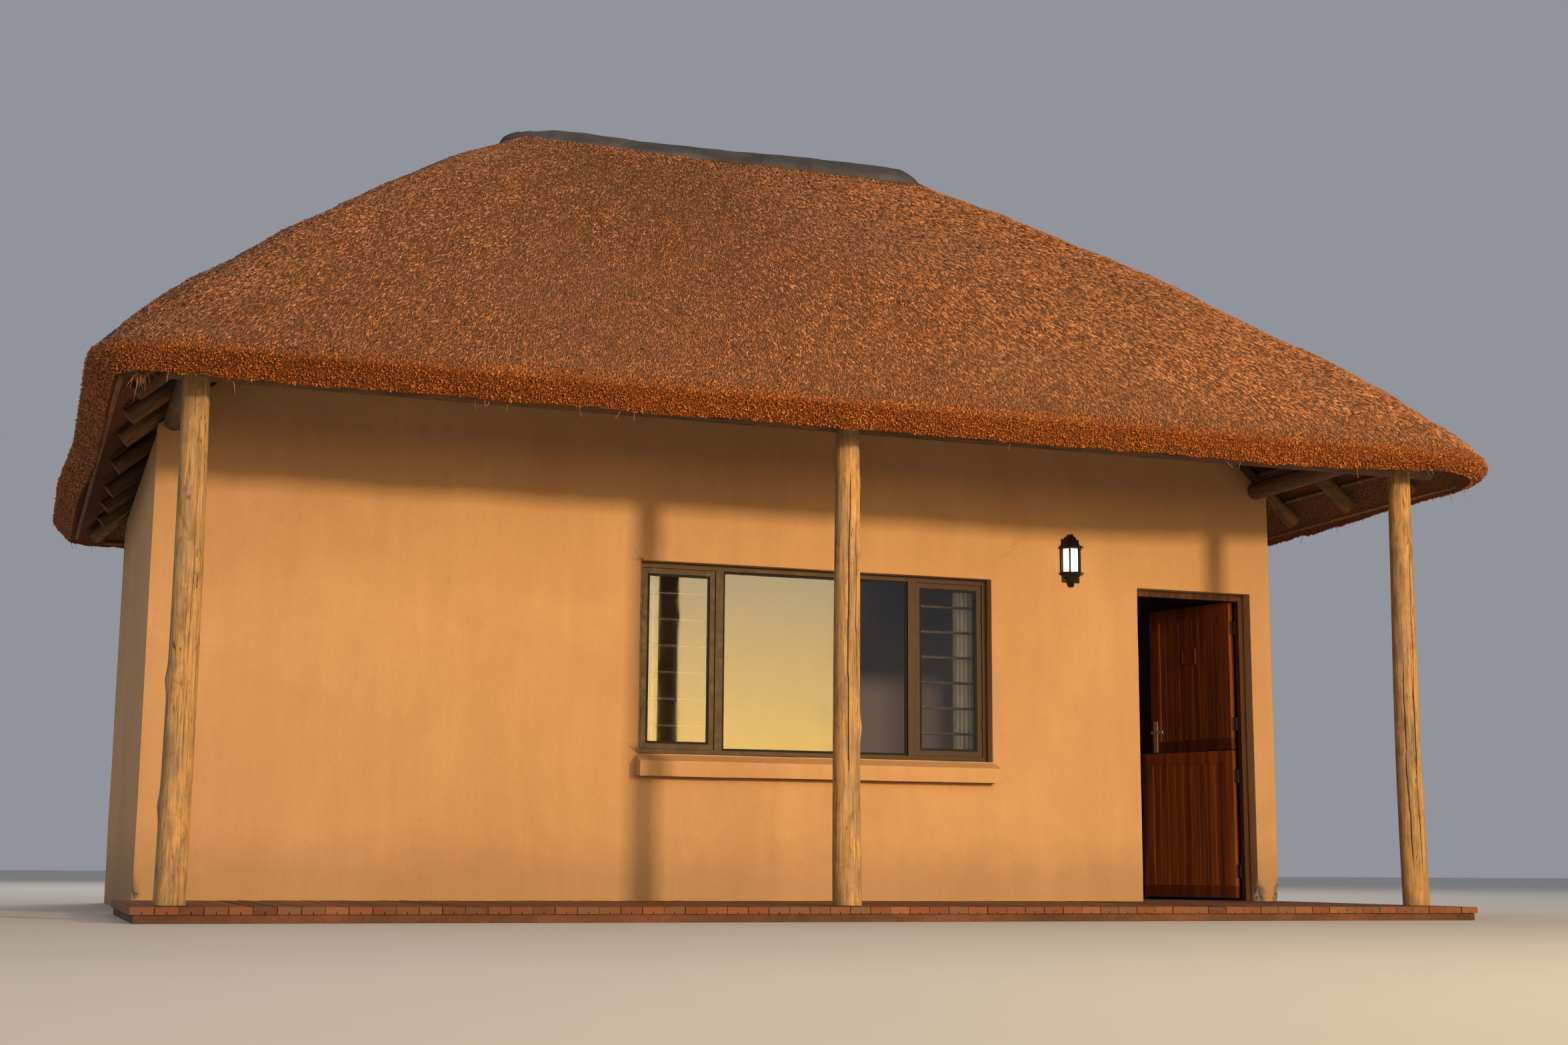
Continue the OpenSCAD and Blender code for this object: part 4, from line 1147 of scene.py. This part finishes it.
def gum_post(name, x, bow, knots, cracks):
    """Rings from foot to head; each crack is a groove one column wide that wanders."""
    sides, rows = 132, 84
    turn = np.arange(sides) * (2 * math.pi / sides)
    points, split = [], []
    lumps = chance.normal(size=(6, 3))
    for j in range(rows):
        t = j / (rows - 1)
        radius = np.full(sides, 0.08 * (1 - t) + 0.067 * t)
        for k, (a, b, c) in enumerate(lumps):
            radius += 0.0009 * a * np.sin((k // 2 + 2) * turn + 5 * b * t + c)
        for height, way, size in knots:
            gap = (turn - math.radians(way) + math.pi) % (2 * math.pi) - math.pi
            radius += 0.009 * size * math.exp(-((t - height) / 0.022) ** 2) * np.maximum(0, np.cos(gap)) ** 3
            radius += 0.004 * size * np.exp(-(((t - height) / 0.008) ** 2 + (gap / 0.22) ** 2))
            radius -= 0.003 * size * np.exp(-(((t - height) / 0.004) ** 2 + (gap / 0.1) ** 2))
        cut = np.zeros(sides)
        for start, low, high, deep, drift in cracks:
            if low < t < high:
                at = math.radians(start + drift * math.sin(7 * t + start) + 1.6 * math.sin(31 * t + start))
                column = int(round(at / (2 * math.pi) * sides)) % sides
                fade = min(1, (t - low) / 0.05, (high - t) / 0.05)
                radius[column] -= deep * fade
                radius[(column + 1) % sides] -= deep * fade * 0.25
                cut[column] = fade * min(1, deep / 0.006)
        middle = np.array([x + bow[0] * math.sin(math.pi * t), POST_Y + bow[1] * math.sin(2 * math.pi * t),
                           POST_FOOT * (1 - t) + POST_HEAD * t])
        points.append(np.column_stack([middle[0] + radius * np.cos(turn), middle[1] + radius * np.sin(turn),
                                       np.full(sides, middle[2])]))
        split.append(cut)
    piece = skin(name, points)
    # The grooves are kept as split, so that the post's finish paints shade into them.
    keep_value(piece, "split", np.concatenate(split))
    ease(piece, 0.003, 2, lambda mid, way: mid.z < POST_FOOT + 0.001 and abs(way.z) < 0.1)
    return hand_in(piece, "root", post_finish, (name.replace("gum_", ""),), smooth=50)


def crack_set(count, angle, deep=(0.007, 0.012)):
    """Two long cracks on the side that the angle gives, and short ones all round."""
    made = [(angle + chance.uniform(-30, 30), chance.uniform(0.02, 0.25), chance.uniform(0.55, 0.98),
             chance.uniform(*deep), chance.uniform(2, 7)) for k in range(2)]
    for k in range(count):
        low = chance.uniform(0.0, 0.75)
        made.append((chance.uniform(0, 360), low, low + chance.uniform(0.1, 0.5),
                     chance.uniform(0.003, 0.008), chance.uniform(1, 5)))
    return made


# Name, place, bow, knots (height, angle, size) and cracks of each post
POSTS = (
    ("gum_post_left", -3.678, (0.009, 0.006),
     ((0.41, 190, 1), (0.62, 300, 1), (0.18, 160, 1), (0.77, 240, 0.5)), (5, 265, (0.0015, 0.003))),
    ("gum_post_middle", -0.108, (-0.005, 0.004),
     ((0.36, 350, 1), (0.73, 10, 1), (0.87, 20, 1), (0.53, 265, 0.5), (0.12, 230, 0.4)), (6, 285)),
    ("gum_post_right", 3.598, (-0.012, 0.005),
     ((0.5, 0, 1), (0.8, 250, 1), (0.3, 215, 0.5)), (6, 245)),
)
for post_name, post_x, post_bow, post_knots, post_cracks in POSTS:
    gum_post(post_name, post_x, post_bow, post_knots, crack_set(*post_cracks))


# Window: rubber strips round the panes, wide enough to paint the shade lines there too, burglar bars, handles
# and curtains

FRAME_LOW, FRAME_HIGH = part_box("window_frame")
MULLIONS = (FRAME_LOW.x + 0.54, FRAME_HIGH.x - 0.54)
BAR, SASH, HALF_MULLION = 0.034, 0.036, 0.026
PANE_Y = FRAME_LOW.y + 0.018
LIGHTS = ((FRAME_LOW.x + BAR + SASH, MULLIONS[0] - HALF_MULLION - SASH, SASH),
          (MULLIONS[0] + HALF_MULLION, MULLIONS[1] - HALF_MULLION, 0.0),
          (MULLIONS[1] + HALF_MULLION + SASH, FRAME_HIGH.x - BAR - SASH, SASH))


def light_box(light, spread=0.0):
    """Lowest and highest corner of one light's glass, in x and z."""
    x0, x1, rim = light
    inset = BAR + rim - spread
    return (x0 - spread, FRAME_LOW.z + inset), (x1 + spread, FRAME_HIGH.z - inset)


def rubbers_and_shade_lines():
    """Dark rubber strips on both faces of each pane, and one round each casement, widened to be painted shade
    at the sashes' inner edges as well.
    """
    strips = []
    # The strips are wider than the rubber itself: the extra width is painted shade at each sash's inner edge.
    for light in LIGHTS:
        low, high = light_box(light)
        strips.append(surround("strip", low, high, PANE_Y - 0.0025, 0.014, 0.0024))
        strips.append(surround("strip", low, high, PANE_Y + 0.0051, 0.014, 0.004))
    for light in LIGHTS[::2]:
        low, high = light_box(light, SASH + 0.001)
        strips.append(surround("strip", low, high, PANE_Y - 0.0085, 0.0032, 0.004))
    hand_in(gather("rubbers_and_shade_lines", strips), "root", rubber, smooth=0)


def window_beads():
    """Glazing beads, the outer bead, and the casements' handles and knuckles."""
    beads = []
    for light in LIGHTS:
        bead = surround("bead", *light_box(light), PANE_Y + 0.0092, 0.013, 0.012)
        beads.append(ease(bead, 0.0015, 2))
    rim = 0.0015
    outer = surround("bead", (FRAME_LOW.x + rim, FRAME_LOW.z + rim), (FRAME_HIGH.x - rim, FRAME_HIGH.z - rim),
                     FRAME_LOW.y - 0.0035, 0.007, 0.005)
    beads.append(ease(outer, 0.001, 1))
    for x0, x1, _ in LIGHTS[::2]:
        x = x1 + 0.018 if x0 < 0 else x0 - 0.018
        plate = block("plate", (x - 0.009, PANE_Y + 0.0142, 1.50), (x + 0.009, PANE_Y + 0.019, 1.60))
        lever = block("lever", (x - 0.007, PANE_Y + 0.019, 1.54), (x + 0.007, PANE_Y + 0.034, 1.66))
        beads += [ease(plate, 0.002, 2), ease(lever, 0.004, 2)]
        hinge_x, hinge_y = x0 - SASH if x0 < 0 else x1 + SASH, FRAME_LOW.y + 0.004
        for z in (FRAME_LOW.z + 0.25, FRAME_HIGH.z - 0.25):
            beads.append(rod("knuckle", (hinge_x, hinge_y, z - 0.035), (hinge_x, hinge_y, z + 0.035),
                             0.005, 14, 0.001))
    hand_in(gather("window_beads", beads), "root", bronze, smooth=40)


def burglar_bars():
    """Six flat bars behind each casement, screwed at both ends."""
    count, y0, y1 = 6, -0.8745, -0.8685
    bars = []
    step = (FRAME_HIGH.z - FRAME_LOW.z - 2 * BAR) / (count + 1) * 1.03
    middle = (FRAME_LOW.z + FRAME_HIGH.z) / 2
    for x0, x1 in ((FRAME_LOW.x, MULLIONS[0] + 0.02), (MULLIONS[1] - 0.02, FRAME_HIGH.x)):
        bar = block("bar", (x0 + 0.002, y0, -0.009), (x1 - 0.002, y1, 0.009))
        ease(bar, 0.0015, 2)
        for k in range(count):
            z = middle + (k - (count - 1) / 2) * step
            bars += copies(bar, [(0, 0, z)])
            for end in (x0 + 0.014, x1 - 0.014):
                screw = turned("screw", (0, 0, 0), ((0, 0.0045), (0.0015, 0.0045), (0.003, 0.002)), 10)
                screw.data.transform(Matrix.Translation((end, y1, z)) @ Matrix.Rotation(-math.pi / 2, 4, "X"))
                bars.append(screw)
        bpy.data.objects.remove(bar)
    hand_in(gather("burglar_bars", bars), "root", bronze, smooth=40)


rubbers_and_shade_lines()
window_beads()
burglar_bars()


RAIL_Z, CURTAIN_DROP = 2.24, 1.38


def hung_curtain(name, low, high, flip):
    """Gathered cloth: deep pleats under the rail that ease out towards the hem, and their run."""
    pleats, rows = 9, 34
    across = 14 * pleats
    s = np.linspace(0, 1, across + 1)
    wander = chance.normal(size=(pleats + 1, 3)) * 0.12
    points = []
    for t in np.linspace(0, 1, rows):
        phase = 2 * math.pi * pleats * (s + 0.006 * np.sin(9 * s + 3 * t))
        shift = np.interp(s * pleats, np.arange(pleats + 1), wander[:, 0] + wander[:, 1] * t)
        deep = (0.0275 - 0.0035 * t) * (1 + 0.1 * np.sin(3 * s + 6 * t))
        y = (low.y + high.y) / 2 + deep * np.sin(phase + shift) * 0.98
        x = low.x + 0.004 + (high.x - low.x - 0.008) * s + 0.0035 * np.sin(2 * phase + 1.2 * flip)
        z = np.full_like(s, high.z - 0.004 - (high.z - low.z - 0.006) * t)
        z += 0.0012 * np.sin(phase)
        points.append(np.column_stack([x, y, z]))
    grid = np.stack(points)
    n = across + 1
    k = np.arange(across)
    faces = np.concatenate([np.stack([j * n + k, (j + 1) * n + k, (j + 1) * n + k + 1, j * n + k + 1], 1)
                            for j in range(rows - 1)])
    piece = cast(name, grid.reshape(-1, 3), faces)
    run = np.linalg.norm(np.diff(grid[rows // 2], axis=0), axis=1).sum()
    corner = corners_of(piece)
    keep_map(piece, "lay", np.column_stack([(corner % n) / n * run, (corner // n) / rows * CURTAIN_DROP]))
    take(piece)
    cloth_body = piece.modifiers.new("cloth", "SOLIDIFY")
    cloth_body.thickness = 0.0012
    cloth_body.offset = 0
    bpy.ops.object.modifier_apply(modifier="cloth")
    return piece, float(run)


def curtains():
    """Both curtains, each hung on ten rings of its own."""
    for k, name in enumerate(("curtain_left", "curtain_right")):
        low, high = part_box(name)
        rail_y = (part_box("curtain_left")[0].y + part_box("curtain_left")[1].y) / 2
        piece, run = hung_curtain("cotton_" + name, low, high, 1 - 2 * k)
        hand_in(piece, "root", curtain_finish, (name,), smooth=60)
        rings = []
        for j in range(10):
            x = low.x + 0.012 + (high.x - low.x - 0.024) * j / 9
            let_go()
            bpy.ops.mesh.primitive_torus_add(major_radius=0.0165, minor_radius=0.0016, major_segments=20,
                                             minor_segments=6, location=(x, rail_y, RAIL_Z - 0.0035),
                                             rotation=(0, math.pi / 2, 0.12 * (-1) ** j))
            rings.append(settle(bpy.context.object))
        band = gather("rings_" + name, rings)
        hand_in(band, "root", black_metal, smooth=60)


curtains()


# Door: boards set in the frames of the leaves, and a small plate on the upper one

PIN = Vector((3.497, -0.8417, 0.08))
LEAF_FACE, LEAF_BACK = -0.0483, -0.0083
PANEL = (-0.716, -0.1)
OPEN = {"upper_leaf": 77.5, "lower_leaf": 69.5}
SPAN = {"upper_leaf": (1.027, 2.053), "lower_leaf": (0.018, 1.021)}
RAIL = 0.08


def hang(piece, leaf):
    """Turns a piece made on the closed leaf to where the leaf stands open."""
    piece.data.transform(Matrix.Translation(PIN) @ Matrix.Rotation(-math.radians(OPEN[leaf]), 4, "Z"))
    return piece


def leaf_boards(leaf):
    """Nine boards with V joints in the recess of a leaf, held by a bead all round."""
    z0, z1 = SPAN[leaf][0] + RAIL, SPAN[leaf][1] - RAIL
    count = 9
    wide = (PANEL[1] - PANEL[0]) / count
    board = block("board", (PANEL[0] + 0.0004, LEAF_FACE + 0.0035, z0 + 0.0004),
                  (PANEL[0] + wide - 0.0004, LEAF_FACE + 0.0098, z1 - 0.0004))
    ease(board, 0.0022, 1, lambda mid, way: abs(way.z) > 0.9 and mid.y < LEAF_FACE + 0.005)
    slice_up(board, 2, np.linspace(z0, z1, 8)[1:-1])
    parts = [board] + copies(board, [(k * wide, 0, 0) for k in range(1, count)])
    boards = gather("boards_" + leaf, parts)
    points = points_of(boards)
    joint = np.abs((points[:, 0] - PANEL[0]) / wide % 1.0 - 0.5) * 2
    keep_value(boards, "dust", (joint > 0.95) * (points[:, 1] > LEAF_FACE + 0.005) * 1.0)
    hang(boards, leaf)
    hand_in(boards, leaf, door_finish, smooth=25)
    bead = surround("bead", (PANEL[0], z0), (PANEL[1], z1), LEAF_FACE + 0.0008, 0.0085, 0.0088)
    ease(bead, 0.0028, 2, lambda mid, way: mid.y < LEAF_FACE + 0.001)
    pegs = [bead]
    for x in (PANEL[0] - 0.05, PANEL[1] + 0.05):
        for z in (z0 - 0.045, z1 + 0.045):
            for dz in (-0.014, 0.014):
                pegs.append(rod("peg", (x, LEAF_FACE - 0.0006, z + dz), (x, LEAF_FACE + 0.004, z + dz),
                                0.0045, 12, 0.0004))
    beads = hang(gather("beads_" + leaf, pegs), leaf)
    hand_in(beads, leaf, door_finish, smooth=35)


for leaf_name in OPEN:
    leaf_boards(leaf_name)


def door_plate():
    """A bare little wooden plate on the upper leaf."""
    plate = block("door_plate", (-0.48, LEAF_FACE - 0.006, 1.645), (-0.34, LEAF_FACE + 0.0036, 1.755))
    pick(plate, "FACE", lambda mid, way: way.y < -0.9)
    bpy.ops.mesh.inset(thickness=0.008, depth=0)
    bpy.ops.mesh.inset(thickness=0.004, depth=-0.003)
    bpy.ops.object.mode_set(mode="OBJECT")
    ease(plate, 0.0012, 2, lambda mid, way: mid.y < LEAF_FACE)
    hand_in(hang(settle(plate), "upper_leaf"), "upper_leaf", door_finish, smooth=30)


door_plate()


def hinge_screws():
    """Countersunk screw heads on the frame's hinge plates."""
    screws = []
    for row in (0.198, 0.844, 1.204, 1.873):
        for dz in (-0.033, 0.0, 0.033):
            head = turned("screw", (0, 0, 0), ((0, 0.0042), (0.0012, 0.004), (0.0018, 0.002)), 12)
            head.data.transform(Matrix.Translation(PIN + Vector((-0.002, -0.026, row + dz)))
                                @ Matrix.Rotation(-math.pi / 2, 4, "Y"))
            screws.append(head)
    hand_in(gather("hinge_screws", screws), "root", steel, smooth=35)


hinge_screws()


# Lantern: finials, collar, gallery and the bulb behind the frosted panes

LAMP_X, LAMP_Y, LAMP_FOOT = 2.144, -1.0, 2.148
DROP_FORM = ((0.0005, 0.003), (0.004, 0.008), (0.009, 0.0105), (0.014, 0.008), (0.019, 0.006), (0.026, 0.011),
             (0.03, 0.016))
KNOB_FORM = ((0, 0.02), (0.005, 0.018), (0.011, 0.009), (0.014, 0.006), (0.018, 0.009), (0.022, 0.006),
             (0.0245, 0.001))
BULB_FORM = ((0, 0.012), (0.02, 0.013), (0.032, 0.02), (0.055, 0.026), (0.075, 0.024), (0.09, 0.012),
             (0.095, 0.003))


def lantern_ledge(z, wide):
    """Half of a thin six-sided plate against the wall."""
    let_go()
    place = (LAMP_X, LAMP_Y, z)
    bpy.ops.mesh.primitive_circle_add(vertices=6, radius=wide / 2, fill_type="NGON", location=place)
    ledge = bpy.context.object
    bpy.ops.object.transform_apply()
    with editing():
        bpy.ops.mesh.extrude_region_move(TRANSFORM_OT_translate={"value": (0, 0, 0.004)})
        bpy.ops.mesh.select_all(action="SELECT")
        bpy.ops.mesh.bisect(plane_co=(LAMP_X, LAMP_Y - 0.0005, z), plane_no=(0, 1, 0),
                            clear_outer=True, use_fill=True)
    return ease(settle(ledge), 0.001, 2)


def lantern_parts():
    """The lantern's black trim, and its bulb."""
    x, y, foot = LAMP_X, LAMP_Y, LAMP_FOOT
    trim = [turned("drop", (x, y - 0.034, foot), DROP_FORM, 24),
            turned("knob", (x, y - 0.034, foot + 0.333), KNOB_FORM, 24)]
    for up, wide in ((0.0925, 0.188), (0.2655, 0.188), (0.083, 0.176), (0.2745, 0.176)):
        trim.append(lantern_ledge(foot + up, wide))
    for side in (-1, 1):
        for across, out in ((0.062, 0.006), (0.0325, 0.0605)):
            corner = block("corner", (x + side * across - 0.006, y - out - 0.004, foot + 0.09),
                           (x + side * across + 0.006, y - out + 0.004, foot + 0.258))
            trim.append(ease(corner, 0.0015, 2))
    back = block("back", (x - 0.066, y - 0.006, foot + 0.03), (x + 0.066, y - 0.0005, foot + 0.325))
    trim.append(ease(back, 0.002, 2))
    hand_in(gather("lantern_trim", trim), "root", black_metal, smooth=40)
    bulb = turned("lantern_bulb", (x, y - 0.03, foot + 0.105), BULB_FORM, 20)
    hand_in(bulb, "root", lamp_glass, smooth=60)


lantern_parts()


# CAD nodes that keep their shape: eased edges and finishes

for names, finish in (
        ("room_floor door_threshold", screed),
        ("veranda_base", base_cement),
        ("window_frame window_casements", bronze),
        ("window_glass", glass),
        ("lantern_glass", lamp_glass),
        ("door_frame", frame_finish),
        ("upper_leaf lower_leaf", door_finish),
        ("frame_hinges upper_hinges lower_hinges", steel),
        ("latch", brass),
        ("lantern_body curtain_rail", black_metal)):
    dress(names, finish)
for names, width in (
        ("window_frame window_casements", 0.002),
        ("door_frame upper_leaf lower_leaf", 0.003),
        ("latch lantern_body", 0.0015),
        ("door_threshold veranda_base", 0.006)):
    soften(names, width)

slope_front = math.atan2(IN_RISE, IN_B)
slope_end = math.atan(RISE / (EAVE_A - TOP_A))
for names, way in (
        ("front_beam plate_front plate_back ridge_pole", (1, 0, 0)),
        ("side_pole_left side_pole_right plate_left plate_right", (0, 1, 0)),
        ("rafters_front", (0, math.cos(slope_front), math.sin(slope_front))),
        ("rafters_back", (0, -math.cos(slope_front), math.sin(slope_front))),
        ("rafters_left", (math.cos(slope_end), 0, math.sin(slope_end))),
        ("rafters_right", (-math.cos(slope_end), 0, math.sin(slope_end)))):
    dress(names, pole_wood("pole_" + names.split()[0], way, *ROOF_POLE))


# Floor, lights and camera

def floor_and_sky():
    """A pale floor that reaches past the view, under an even, slightly cool sky."""
    let_go()
    bpy.ops.mesh.primitive_plane_add(size=160, location=(0, 0, 0))
    floor = bpy.context.object
    floor.name = "studio_floor"
    f = Finish("pale_floor", rough=0.85, shine=0.1)
    floor.data.materials.append(f.wear(f.mixed(f.cloud(0.5, 2), paint(214, 210, 203), paint(208, 203, 196))))
    scene.world = bpy.data.worlds.new("studio")
    scene.world.use_nodes = True
    sky = scene.world.node_tree.nodes["Background"]
    sky.inputs["Color"].default_value = (0.86, 0.90, 1.0, 1)
    sky.inputs["Strength"].default_value = 0.33


def lamp(name, place, aim, size, power, colour, mirrored=True, spread=180):
    """A soft rectangular lamp; one that isn't mirrored stays out of glass and gloss."""
    light = bpy.data.lights.new(name, "AREA")
    light.shape = "RECTANGLE"
    light.size, light.size_y = size
    light.energy = power
    light.color = colour
    light.spread = math.radians(spread)
    thing = bpy.data.objects.new(name, light)
    scene.collection.objects.link(thing)
    thing.location = place
    thing.visible_glossy = thing.visible_transmission = mirrored
    thing.rotation_euler = (Vector(aim) - Vector(place)).to_track_quat("-Z", "Y").to_euler()
    return light


def shade_panel(panel, low, high):
    """Fades a lamp's own colour from its lower to its upper edge: (place, colour) twice."""
    panel.use_nodes = True
    tree = panel.node_tree
    over = tree.nodes.new("ShaderNodeSeparateXYZ")
    fade = tree.nodes.new("ShaderNodeValToRGB")
    tree.links.new(tree.nodes.new("ShaderNodeNewGeometry").outputs["Parametric"], over.inputs[0])
    tree.links.new(over.outputs[1], fade.inputs[0])
    tree.links.new(fade.outputs[0], tree.nodes["Emission"].inputs["Color"])
    for stop, (level, colour) in zip(fade.color_ramp.elements, (low, high)):
        stop.position, stop.color = level, colour


def studio_lamps():
    """A warm key, a shaded panel for the glass to mirror, a fill and a lamp behind."""
    lamp("key", (7.1, -19.7, 3.85), (-1.8, -1, 2.4), (1.2, 1.0), 840, (1.0, 0.74, 0.45),
         mirrored=False, spread=90)
    panel = lamp("panel", (2.2, -17.0, 4.5), (0, 0, 2.0), (9, 7), 620, (1, 1, 1), spread=120)
    shade_panel(panel, (0.1, (1.6, 0.95, 0.22, 1)), (0.55, (0.7, 0.55, 0.33, 1)))
    lamp("fill", (-14.0, -8.0, 6.0), (0, 0, 2.0), (8, 6), 260, (0.88, 0.93, 1.0))
    lamp("back", (2.0, 15.0, 14.0), (0, 0, 2.0), (10, 6), 1500, (1.0, 0.92, 0.82), mirrored=False)


def camera():
    """Stands low in front, left of the middle, turned to the right and upwards."""
    place, lens, sensor, reach = (-4.418, -13.51, 0.28), 48.37, 36, 400
    eye = bpy.data.cameras.new("photo_camera")
    eye.lens = lens
    eye.sensor_width = sensor
    eye.clip_end = reach
    thing = bpy.data.objects.new("photo_camera", eye)
    scene.collection.objects.link(thing)
    yaw, pitch, tilt = (math.radians(v) for v in (19.86, 9.32, 0.36))
    ahead = Vector((math.sin(yaw) * math.cos(pitch), math.cos(yaw) * math.cos(pitch), math.sin(pitch)))
    right = Vector((math.cos(yaw), -math.sin(yaw), 0))
    up = right.cross(ahead)
    axis_x = math.cos(tilt) * right + math.sin(tilt) * up
    axis_y = -math.sin(tilt) * right + math.cos(tilt) * up
    turn = Matrix((axis_x, axis_y, -ahead)).transposed()
    thing.matrix_world = Matrix.Translation(place) @ turn.to_4x4()
    scene.camera = thing


floor_and_sky()
studio_lamps()
camera()
scene.view_settings.view_transform = "Standard"
scene.view_settings.exposure = 0.0
